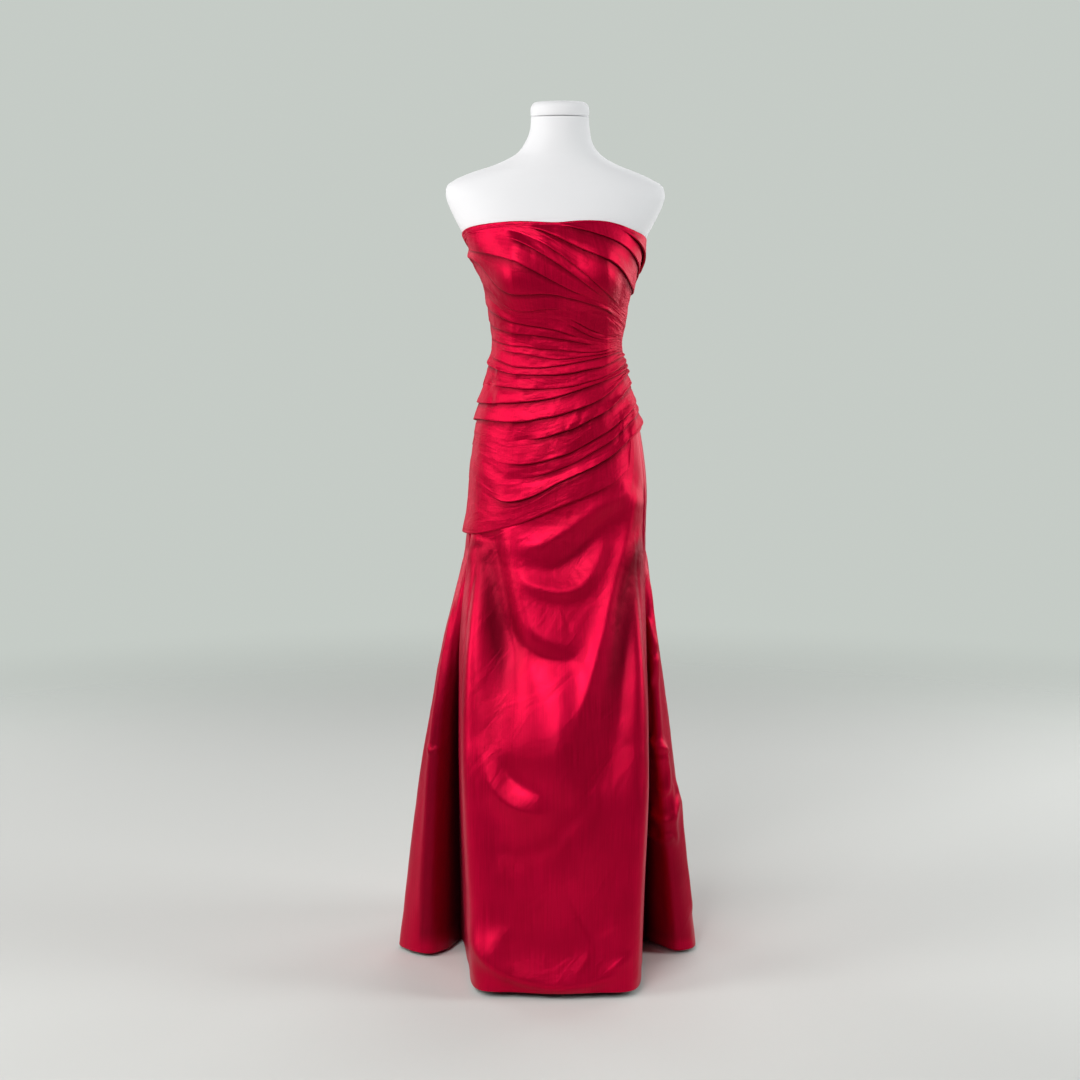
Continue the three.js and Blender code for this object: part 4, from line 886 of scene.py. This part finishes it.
# Skirt: front, two sides and two backs of the same satin, sewn edge to edge, flared and hung
# from the hip. Each row of the table is the crest or the valley of a long fold: its angle at the
# hip, then its place across and back at the knee and at the hem.
KNEE_HEIGHT = 420
KNEE_TURN = 0.4  # how far the slope at the knee is the thigh's, and not the calf's
HEM_HEIGHT = 8
HEM_RISE = 4
FEET = (50, 80)
SEAM = 0.3
LEAVE = 1.3
HIP_BLEND = 60
HIP_BELL = 84
HIP_SHARES = [(-1, 0.15), (-0.5, 0.2), (0, 0.3), (0.5, 0.2), (1, 0.15)]
ribs = {
    "back crest right": [-152, -92, 176, -112, 252],
    "back valley right": [-140, -128, 140, -156, 188],
    "hip crest right": [-127, -172, 122, -220, 172],
    "hip valley right": [-115, -190, 76, -226, 102],
    "side back right": [-106, -214, 44, -266, 62],
    "side corner right": [-99, -226, -2, -281, 8],
    "lobe right": [-91, -207, -38, -228, -36],
    "lobe inner right": [-85, -188, -30, -196, -8],
    "deep valley right": [-79, -169, -14, -172, 44],
    "panel side right": [-70, -156, -90, -153, -84],
    "panel corner right": [-57, -138, -156, -130, -230],
    "panel right": [-30, -74, -174, -70, -240],
    "panel middle": [0, 0, -178, 0, -243],
    "panel left": [28, 70, -174, 66, -242],
    "panel corner left": [55, 131, -158, 126, -234],
    "panel side left": [68, 147, -92, 148, -92],
    "deep valley left": [78, 151, -12, 159, 38],
    "lobe inner left": [84, 166, -22, 188, 12],
    "lobe left": [90, 180, -26, 216, -20],
    "side corner left": [97, 196, -2, 244, -6],
    "side back left": [104, 198, 42, 248, 48],
    "hip valley left": [113, 178, 70, 210, 94],
    "hip crest left": [125, 166, 118, 206, 166],
    "back valley left": [139, 124, 136, 150, 184],
    "back crest left": [151, 94, 176, 116, 250],
    "zip valley left": [165, 44, 164, 54, 220],
    "zip crest": [180, 2, 186, 2, 264],
    "zip valley right": [194, -44, 164, -50, 220],
}
rib_rows = np.array(list(ribs.values()), float)
rib_count = len(rib_rows)
to_next = np.roll(rib_rows, -1, 0)[:, 3:] - rib_rows[:, 3:]
rib_steps = np.sqrt(np.hypot(to_next[:, 0], to_next[:, 1]))
rib_places = np.concatenate([[0], np.cumsum(rib_steps)])
whole_round = rib_places[-1]
rib_hips = body_surface(rib_rows[:, 0], np.full(rib_count, float(HIP_HEIGHT)))
rib_of = {name: number for number, name in enumerate(ribs)}
right_valley, left_valley = rib_of["deep valley right"], rib_of["deep valley left"]
right_back, left_back = rib_of["back valley right"], rib_of["back valley left"]
zip_rib = rib_of["zip crest"]


def place_of(rib):
    """Place round the skirt of a rib, by its number; each whole round adds the same length."""
    return rib_places[rib % rib_count] + whole_round * (rib // rib_count)


def around_ribs(place, value, turn_value=0.0):
    """Smooth value at places round the skirt, through the ribs' own values: a cubic on each span,
    whose slopes weigh the spans on both sides."""
    rounds = np.floor(place / whole_round)
    along = place - rounds * whole_round
    i = np.clip(np.searchsorted(rib_places, along, side="right") - 1, 0, rib_count - 1)

    def at(k):
        return value(k % rib_count) + turn_value * np.floor(k / rib_count)

    def slope(k):
        before, after = rib_steps[(k - 1) % rib_count], rib_steps[k % rib_count]
        rise = (at(k) - at(k - 1)) / before * after + (at(k + 1) - at(k)) / after * before
        return rise / (before + after)

    span = rib_steps[i]
    t = (along - rib_places[i]) / span
    return hermite(t, at(i), at(i + 1), slope(i) * span, slope(i + 1) * span) + turn_value * rounds


def hip_angle(place):
    """Angle at the hip of a place round the skirt, in degrees."""
    return around_ribs(place, lambda k: rib_rows[k, 0], 360.0)


def rib_reach(at_hip, at_knee, at_hem, z):
    """How far a rib has moved from its hip point at a height: two cubics that meet at the knee."""
    upper, lower = HIP_HEIGHT - KNEE_HEIGHT, KNEE_HEIGHT - HEM_HEIGHT
    to_knee, to_hem = at_knee - at_hip, at_hem - at_hip
    hem_slope = (to_hem - to_knee) / lower
    knee_slope = KNEE_TURN * (to_knee / upper) + (1 - KNEE_TURN) * hem_slope
    down = np.maximum(HIP_HEIGHT - z, 0)
    thigh = hermite(np.minimum(down / upper, 1), 0, to_knee, LEAVE * to_knee, knee_slope * upper)
    t = np.clip((down - upper) / lower, 0, 1)
    calf = hermite(t, to_knee, to_hem, knee_slope * lower, hem_slope * lower)
    return np.where(down < upper, thigh, calf)


def hung_from_hip(place, z):
    """The skirt's inside: on the body above the hip, on the ribs below it."""
    angle = hip_angle(place)
    point = body_point(wrap_angle(angle), np.maximum(z, HIP_HEIGHT), np.full(z.shape, float(EASE)))
    for axis in (0, 1):
        point[..., axis] += around_ribs(place, lambda k: rib_reach(
            rib_hips[k, axis], rib_rows[k, 1 + axis], rib_rows[k, 3 + axis], z))
    return point


def skirt_surface(place, z):
    """The skirt's inside with its bend at the hip eased: a weighted mean of the heights near it."""
    place, z = np.broadcast_arrays(np.asarray(place, float), np.asarray(z, float))
    reach = HIP_BLEND * bell(z - HIP_HEIGHT, HIP_BELL)
    point = sum(share * hung_from_hip(place, z + away * reach) for away, share in HIP_SHARES)
    point[..., 2] = z
    return point


def hem_height(angle):
    """Height of the hem, a little higher before the feet."""
    return HEM_HEIGHT + HEM_RISE * (1 - step(np.abs(wrap_angle(angle)), *FEET))


# Folds on the skirt's front, across and up in millimetres: swags hung from the gathers at the
# wearer's left hip, long ridges down the panel's edges, and the soft hollows between them. A
# row's shade is painted shade, the share by which the dye is darkened along it.
front_creases = [
    {"fold": "under the edge", "through": [(134, 856), (108, 840), (62, 814), (14, 781), (-28, 757),
                 (-72, 746)],
     "rise": 8, "left": 19, "right": 16, "sharp": 1.6},
    {"fold": "first pocket", "through": [(104, 822), (74, 786), (38, 746), (-8, 713), (-62, 709)],
     "rise": -7, "shade": 0.2, "left": 30, "right": 14, "sharp": 1.8, "fade_in": 0.3, "fade_out": 0.45},
    {"fold": "first swag", "through": [(-68, 714), (-47, 690), (0, 678), (34, 683), (58, 705),
                 (77, 741), (88, 782)],
     "rise": 8, "left": 20, "right": 12, "sharp": 1.5, "fade_in": 0.3, "fade_out": 0.35},
    {"fold": "pouch", "through": [(-98, 792), (-86, 740), (-74, 690), (-63, 650), (-45, 618),
                 (-13, 600), (21, 597), (48, 614)],
     "rise": 8, "left": 34, "right": 26, "sharp": 1.7, "fade_in": 0.1, "fade_out": 0.3},
    {"fold": "below the pouch", "through": [(-100, 690), (-81, 624), (-53, 586), (-20, 567), (14, 563),
                 (42, 576)],
     "rise": -4, "left": 13, "right": 26, "sharp": 1.8, "fade_in": 0.3},
    {"fold": "right hollow", "through": [(-116, 786), (-106, 740), (-96, 690), (-88, 650), (-78, 590),
                 (-74, 500), (-80, 400)],
     "rise": -16, "left": 21, "right": 42, "fade_in": 0.1, "fade_out": 0.4},
    # Painted shade only, with no relief: the dye darkened down the right hollow.
    {"fold": "right hollow's depth", "through": [(-133, 774), (-128, 730), (-122, 680), (-112, 620),
                 (-102, 540), (-100, 440)],
     "shade": 0.55, "left": 22, "right": 18, "fade_in": 0.05, "fade_out": 0.5},
    {"fold": "right edge", "through": [(-157, 776), (-158, 674), (-158, 586), (-156, 483), (-152, 300),
                 (-146, 120), (-143, 20)],
     "rise": 34, "left": 34, "right": 26, "sharp": 1.8, "fade_in": 0.07, "fade_out": 0.8},
    {"fold": "right edge's line", "through": [(-154, 740), (-156, 586), (-150, 300), (-144, 120),
                 (-141, 20)],
     "rise": 4, "left": 8, "right": 8, "sharp": 1.4, "fade_in": 0.05, "fade_out": 0.05},
    {"fold": "middle swell", "through": [(6, 604), (4, 520), (0, 430), (-8, 330), (-18, 170)],
     "rise": 30, "left": 54, "right": 72, "sharp": 1.8, "fade_in": 0.54, "fade_out": 0.46},
    {"fold": "long ridge", "through": [(136, 850), (124, 788), (98, 690), (80, 618), (61, 550),
                 (38, 475), (14, 400)],
     "rise": 12, "left": 34, "right": 15, "sharp": 1.4, "fade_in": 0.08, "fade_out": 0.35},
    {"fold": "long ridge's twin", "through": [(146, 800), (132, 752), (116, 700), (104, 650)],
     "rise": 3, "left": 6, "right": 7, "sharp": 1.4},
    {"fold": "deep hollow", "through": [(130, 740), (124, 660), (118, 580), (108, 490), (98, 380)],
     "rise": -9, "shade": 0.3, "left": 17, "right": 26, "fade_out": 0.5},
    # Painted shade only, with no relief: the dye darkened down the deep hollow.
    {"fold": "deep hollow's depth", "through": [(141, 800), (128, 730), (114, 670), (104, 600),
                 (88, 500), (76, 420)],
     "shade": 0.6, "left": 20, "right": 12, "fade_in": 0.1, "fade_out": 0.5},
    {"fold": "left edge", "through": [(152, 780), (153, 660), (152, 499), (145, 300), (138, 102),
                 (136, 20)],
     "rise": 30, "left": 26, "right": 32, "sharp": 1.8, "fade_in": 0.15, "fade_out": 0.75},
    {"fold": "left edge's line", "through": [(151, 720), (151, 499), (143, 300), (137, 102), (135, 20)],
     "rise": 4, "left": 7, "right": 6, "sharp": 1.3, "fade_in": 0.05, "fade_out": 0.05},
    {"fold": "third swag", "through": [(-130, 450), (-124, 408), (-115, 368), (-98, 338), (-70, 320),
                 (-34, 313), (0, 322)],
     "rise": 11, "left": 32, "right": 22, "sharp": 1.4, "fade_in": 0.5, "fade_out": 0.35},
    {"fold": "third pocket", "through": [(-100, 420), (-80, 374), (-48, 354), (-8, 352)],
     "rise": -4, "left": 30, "right": 13, "fade_in": 0.4, "fade_out": 0.4},
    {"fold": "slanting swell", "through": [(-110, 108), (-30, 170), (42, 262), (82, 340), (106, 430)],
     "rise": 12, "left": 56, "right": 60, "sharp": 1.8, "fade_in": 0.35, "fade_out": 0.35},
    {"fold": "slanting hollow", "through": [(-124, 262), (-60, 250), (0, 286), (40, 356)],
     "rise": -4, "left": 40, "right": 30},
    {"fold": "hem swag", "through": [(-160, 134), (-136, 84), (-104, 52), (-55, 32), (10, 23), (80, 34),
                 (128, 70)],
     "rise": 15, "left": 60, "right": 13, "sharp": 1.4, "fade_in": 0.24, "fade_out": 0.3},
    {"fold": "left crumple 1", "through": [(62, 96), (84, 116), (112, 128)],
     "rise": 2, "left": 9, "right": 4, "sharp": 1.1, "fade_in": 0.5, "fade_out": 0.4},
    {"fold": "left crumple 2", "through": [(14, 38), (40, 52), (52, 74), (44, 92)],
     "rise": 2.2, "left": 9, "right": 4, "sharp": 1.1, "fade_in": 0.5, "fade_out": 0.5},
    {"fold": "left crumple 3", "through": [(86, 50), (108, 58), (130, 76)],
     "rise": 2, "left": 8, "right": 4, "sharp": 1.1, "fade_in": 0.5, "fade_out": 0.3},
]


def grid_normals(points):
    """A grid's outward directions: the cross product of its slopes across and up."""
    normal = np.cross(np.gradient(points, axis=1), -np.gradient(points, axis=0))
    return normal / np.linalg.norm(normal, axis=-1, keepdims=True)


# The finer form of a panel: long and short ripples, a lift over the hip, and relief that never
# takes the cloth into the body. Painted shade darkens the dye in a hollow, and most in the valleys
# between the front and the lobes beside it.
MAP_HEIGHT = 300.0
PROBE = 0.05
UPPER_ROWS = 28
LOWER_ROWS = 182
EDGE_FADE = (0.2, 2.2)
EDGE_UNITS = 300  # in a whole round
TOP_FADE = (26, 8)
skirt_ripples = [
    {"high": 1.1, "wide": 52, "tall": 150, "from": (7, 3)},
    {"high": 0.4, "wide": 15, "tall": 34, "from": (0, 0)},
]
CRUMPLE = {"high": 0.5, "along": 11, "across": 17}
HIP_LIFT = {"rise": 3, "height": 780, "tall": 70}
NEAR = 1.5
LEAST_OFF = 0.8
OFF_SHARE = 0.85
SKIRT_CRUSH = (0.15, 0.8)
SKIRT_DRAWN = 0.15
# Painted shade in the dye: for hollows, along the creases' shade, and in the valleys.
HOLLOW_DEPTH = 30
HOLLOW_SHADE = 0.3
MOST_SHADE = 0.6
VALLEY_WIDE = {"front": 3, "right": 8, "left": 5}
VALLEY_SHADE = 0.95
VALLEY_FROM = (700, 500)
SHADE_FROM = (772, 748)


def skirt_piece(row, seed):
    """One panel of the skirt between two ribs: columns by place round the skirt, rows from under
    the bodice to the hem. Its creases are relief along the normal, turned by a share towards
    straight ahead, and never take the cloth into the body."""
    first, last = (place_of(rib) for rib in row["ribs"])
    places = np.linspace(first, last, row["columns"])
    probe = skirt_surface(places[[0, -1]][:, None] + np.array([-PROBE, PROBE]), MAP_HEIGHT)
    speed = np.linalg.norm(probe[:, 1] - probe[:, 0], axis=-1) / (2 * PROBE)
    places[0] += SEAM / 2 / speed[0]
    places[-1] -= SEAM / 2 / speed[1]
    angle = wrap_angle(hip_angle(places))
    top, hem = skirt_top(angle), hem_height(angle)
    upper = top + (HIP_HEIGHT - top) * np.linspace(0, 1, UPPER_ROWS)[:-1, None]
    lower = HIP_HEIGHT + (hem - HIP_HEIGHT) * np.linspace(0, 1, LOWER_ROWS)[:, None]
    z = np.concatenate([upper, lower])
    at = np.broadcast_to(places, z.shape)
    base = skirt_surface(at, z)
    a, b = row["map"](base, at)
    crumpled = crumples(a, b, row["crush"])
    relief = line_relief(a, b, row["creases"])
    for number, wave in enumerate(skirt_ripples):
        u, v = a / wave["wide"] + wave["from"][0], b / wave["tall"] + wave["from"][1]
        relief = relief + wave["high"] * ripple(u, v, seed + number)
    soft = ripple((a + b) / CRUMPLE["along"], (a - b) / CRUMPLE["across"], seed + len(skirt_ripples))
    relief = relief + CRUMPLE["high"] * crumpled * soft
    relief = relief + HIP_LIFT["rise"] * bell(z - HIP_LIFT["height"], HIP_LIFT["tall"])
    # Painted shade: hollow darkens the dye where the relief sinks and along the creases' shade.
    hollow = np.clip(-relief / HOLLOW_DEPTH, 0, HOLLOW_SHADE) + line_relief(a, b, row["creases"], "shade")
    body = body_surface(wrap_angle(hip_angle(at)), np.maximum(z, FORM_BOTTOM))
    room = np.linalg.norm((base - body)[..., :2], axis=-1)
    relief = NEAR * np.logaddexp(relief / NEAR, (LEAST_OFF - OFF_SHARE * room) / NEAR)
    edge = np.minimum(at - first, last - at) * whole_round / EDGE_UNITS
    relief = relief * step(edge, *EDGE_FADE) * (1 - step(z, top - TOP_FADE[0], top - TOP_FADE[1]))
    way = grid_normals(base) * (1 - row["ahead"]) + np.array([0, -row["ahead"], 0])
    inner = base + way / np.linalg.norm(way, axis=-1, keepdims=True) * relief[..., None]
    outer = inner + grid_normals(inner) * WALL
    crush = SKIRT_CRUSH[0] + SKIRT_CRUSH[1] * np.clip(crumpled, 0, 1)
    # Painted shade in the valleys beside the front panel, joined to the hollows' in the deep values.
    into_right, into_left = place_of(right_valley) - at, at - place_of(left_valley)
    valleys = bell(into_right, np.where(into_right > 0, VALLEY_WIDE["right"], VALLEY_WIDE["front"]))
    valleys = valleys + bell(into_left, np.where(into_left > 0, VALLEY_WIDE["left"], VALLEY_WIDE["front"]))
    deep = np.minimum(hollow, MOST_SHADE) * step(z, *SHADE_FROM)
    deep = np.clip(deep + VALLEY_SHADE * valleys * step(z, *VALLEY_FROM), 0, 1)
    return cloth("gown_" + row["panel"], outer, inner, crush, deep, SKIRT_DRAWN, satin)


# Each patch of crumpled cloth: its middle and its size on the flat map, and how crumpled it is.
front_patches = [
    {"patch": "gathers under the edge", "at": (24, 812), "wide": 60, "tall": 30, "crush": 1},
    {"patch": "gathers at the left hip", "at": (124, 790), "wide": 24, "tall": 90, "crush": 0.5},
    {"patch": "first swag", "at": (0, 690), "wide": np.inf, "tall": 80, "crush": 0.35},
]
side_patches = [
    {"patch": "thigh", "at": (0, 480), "wide": np.inf, "tall": 180, "crush": 0.45},
]


def crumples(a, b, patches):
    """How crumpled the cloth is: the sum of its patches, each a bell across and a bell up."""
    return sum(
        row["crush"] * bell(a - row["at"][0], row["wide"]) * bell(b - row["at"][1], row["tall"])
        for row in patches
    )


def front_map(base, place):
    """The front's flat map: across the body, and up."""
    return base[..., 0], base[..., 2]


def side_map(base, place):
    """A side or back panel's flat map: across it at the knee from its first edge, and up."""
    knee = skirt_surface(place[0], MAP_HEIGHT)
    across = np.cumsum(np.linalg.norm(np.diff(knee, axis=0, prepend=knee[:1]), axis=-1))
    return np.broadcast_to(across, place.shape), base[..., 2]


# Folds on the sides and backs, across from the panel's own first edge and up: drags that hang
# from the hip, and dents and facets low down where the cloth stands by itself. A row's shade is
# painted shade, the share by which the dye is darkened along it.
side_left_creases = [
    {"fold": "lobe ridge", "through": [(52, 720), (50, 600), (47, 505), (46, 407), (42, 330)],
     "rise": 6, "left": 9, "right": 10, "sharp": 1.4},
    {"fold": "lobe dent", "through": [(18, 566), (34, 548), (54, 560)],
     "rise": -3, "left": 8, "right": 8},
    {"fold": "facet 1", "through": [(24, 402), (44, 388), (62, 368)],
     "rise": 10, "left": 6, "right": 13, "sharp": 1.2},
    {"fold": "facet 2", "through": [(50, 374), (54, 332), (46, 292)],
     "rise": 10, "left": 7, "right": 11, "sharp": 1.2},
    {"fold": "facet 3", "through": [(14, 272), (40, 250), (62, 262), (76, 296)],
     "rise": 8, "left": 9, "right": 14, "sharp": 1.2},
    {"fold": "facet 4", "through": [(8, 236), (32, 214), (56, 224)],
     "rise": 8, "left": 7, "right": 12, "sharp": 1.2},
    {"fold": "facet 5", "through": [(62, 322), (58, 262), (64, 196)],
     "rise": 5, "left": 7, "right": 9, "sharp": 1.3},
    {"fold": "facet 6", "through": [(30, 620), (44, 556), (36, 490)],
     "rise": 8, "left": 8, "right": 9, "sharp": 1.2},
    {"fold": "lobe's edge", "through": [(80, 330), (88, 200), (92, 60)],
     "rise": 5, "left": 8, "right": 10, "sharp": 1.4, "fade_out": 0.1},
    # Painted shade only, with no relief: the dye darkened on the lobe's low face.
    {"fold": "lobe's low face", "through": [(40, 300), (52, 160), (56, 20)],
     "shade": 0.4, "left": 34, "right": 50, "fade_in": 0.3, "fade_out": 0.05},
    {"fold": "drag 1", "through": [(112, 748), (140, 660), (160, 560), (170, 450)],
     "rise": 6, "left": 16, "right": 22, "sharp": 1.6, "fade_out": 0.4},
    {"fold": "drag 2", "through": [(176, 730), (188, 640), (200, 520)],
     "rise": -5, "left": 18, "right": 14},
    {"fold": "drag 3", "through": [(246, 742), (236, 650), (226, 540), (222, 430)],
     "rise": 6, "left": 16, "right": 13, "sharp": 1.6},
    {"fold": "low swell", "through": [(118, 300), (150, 190), (164, 80)],
     "rise": 5, "left": 22, "right": 30},
    {"fold": "hem dent", "through": [(206, 180), (222, 110), (226, 40)],
     "rise": -5, "left": 16, "right": 18},
]
side_right_creases = [
    {"fold": "drag 1", "through": [(44, 736), (50, 620), (62, 500), (66, 400)],
     "rise": 6, "left": 13, "right": 18, "sharp": 1.6, "fade_out": 0.4},
    {"fold": "drag 2", "through": [(104, 724), (116, 610), (112, 500)],
     "rise": -5, "left": 16, "right": 16},
    {"fold": "drag 3", "through": [(176, 744), (172, 650), (180, 560), (176, 420)],
     "rise": 5, "left": 18, "right": 14, "sharp": 1.6},
    {"fold": "lobe ridge", "through": [(242, 660), (246, 500), (248, 300), (248, 60)],
     "rise": 5, "left": 12, "right": 10, "sharp": 1.4, "fade_out": 0.1},
    {"fold": "lobe pinch", "through": [(236, 390), (250, 378), (264, 386)],
     "rise": 3, "left": 5, "right": 7},
    # Painted shade only, with no relief: the dye darkened on the lobe's inner face.
    {"fold": "lobe's inner face", "through": [(250, 640), (252, 300), (250, 20)],
     "shade": 0.55, "left": 60, "right": 5, "fade_in": 0.3, "fade_out": 0.05},
    {"fold": "low swell", "through": [(96, 290), (112, 190), (104, 70)],
     "rise": 5, "left": 26, "right": 20},
    {"fold": "hem dent", "through": [(176, 260), (168, 150), (176, 50)],
     "rise": -5, "left": 18, "right": 16},
]
back_left_creases = [
    {"fold": "drag 1", "through": [(34, 748), (40, 650), (32, 520), (38, 400)],
     "rise": 6, "left": 13, "right": 16, "sharp": 1.6, "fade_out": 0.4},
    {"fold": "drag 2", "through": [(82, 770), (86, 690), (80, 590)],
     "rise": -4, "left": 12, "right": 12},
    {"fold": "drag 3", "through": [(120, 712), (124, 600), (120, 470)],
     "rise": 5, "left": 12, "right": 15},
    {"fold": "low dent", "through": [(52, 330), (64, 230), (58, 120)],
     "rise": -5, "left": 16, "right": 16},
]
back_right_creases = [
    {"fold": "drag 1", "through": [(38, 730), (44, 600), (38, 470)],
     "rise": 5, "left": 12, "right": 15},
    {"fold": "drag 2", "through": [(88, 764), (80, 670), (86, 570)],
     "rise": -4, "left": 12, "right": 12},
    {"fold": "drag 3", "through": [(126, 752), (118, 640), (128, 500), (122, 380)],
     "rise": 6, "left": 15, "right": 13, "sharp": 1.6, "fade_out": 0.4},
    {"fold": "low swell", "through": [(84, 300), (96, 200), (90, 90)],
     "rise": 5, "left": 18, "right": 18},
]

skirt_panels = [
    {"panel": "skirt_front", "ribs": (right_valley, left_valley), "columns": 210, "ahead": 0.75,
     "creases": front_creases, "map": front_map, "crush": front_patches, "flat": (0.60, 0.83)},
    {"panel": "skirt_side_left", "ribs": (left_valley, left_back), "columns": 110, "ahead": 0,
     "creases": side_left_creases, "map": side_map, "crush": side_patches, "flat": (0.29, 0.79)},
    {"panel": "skirt_side_right", "ribs": (right_back, right_valley), "columns": 110, "ahead": 0,
     "creases": side_right_creases, "map": side_map, "crush": side_patches, "flat": (0.29, 0.79)},
    {"panel": "skirt_back_left", "ribs": (left_back, zip_rib), "columns": 80, "ahead": 0,
     "creases": back_left_creases, "map": side_map, "crush": side_patches, "flat": (0.165, 0.80)},
    {"panel": "skirt_back_right", "ribs": (zip_rib, right_back + rib_count), "columns": 80, "ahead": 0,
     "creases": back_right_creases, "map": side_map, "crush": side_patches, "flat": (0.165, 0.80)},
]
SKIRT_SEED = 31
for number, row in enumerate(skirt_panels):
    panel = skirt_piece(row, SKIRT_SEED + 3 * number)
    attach(panel, "gown_on_form")
    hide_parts(row["panel"])
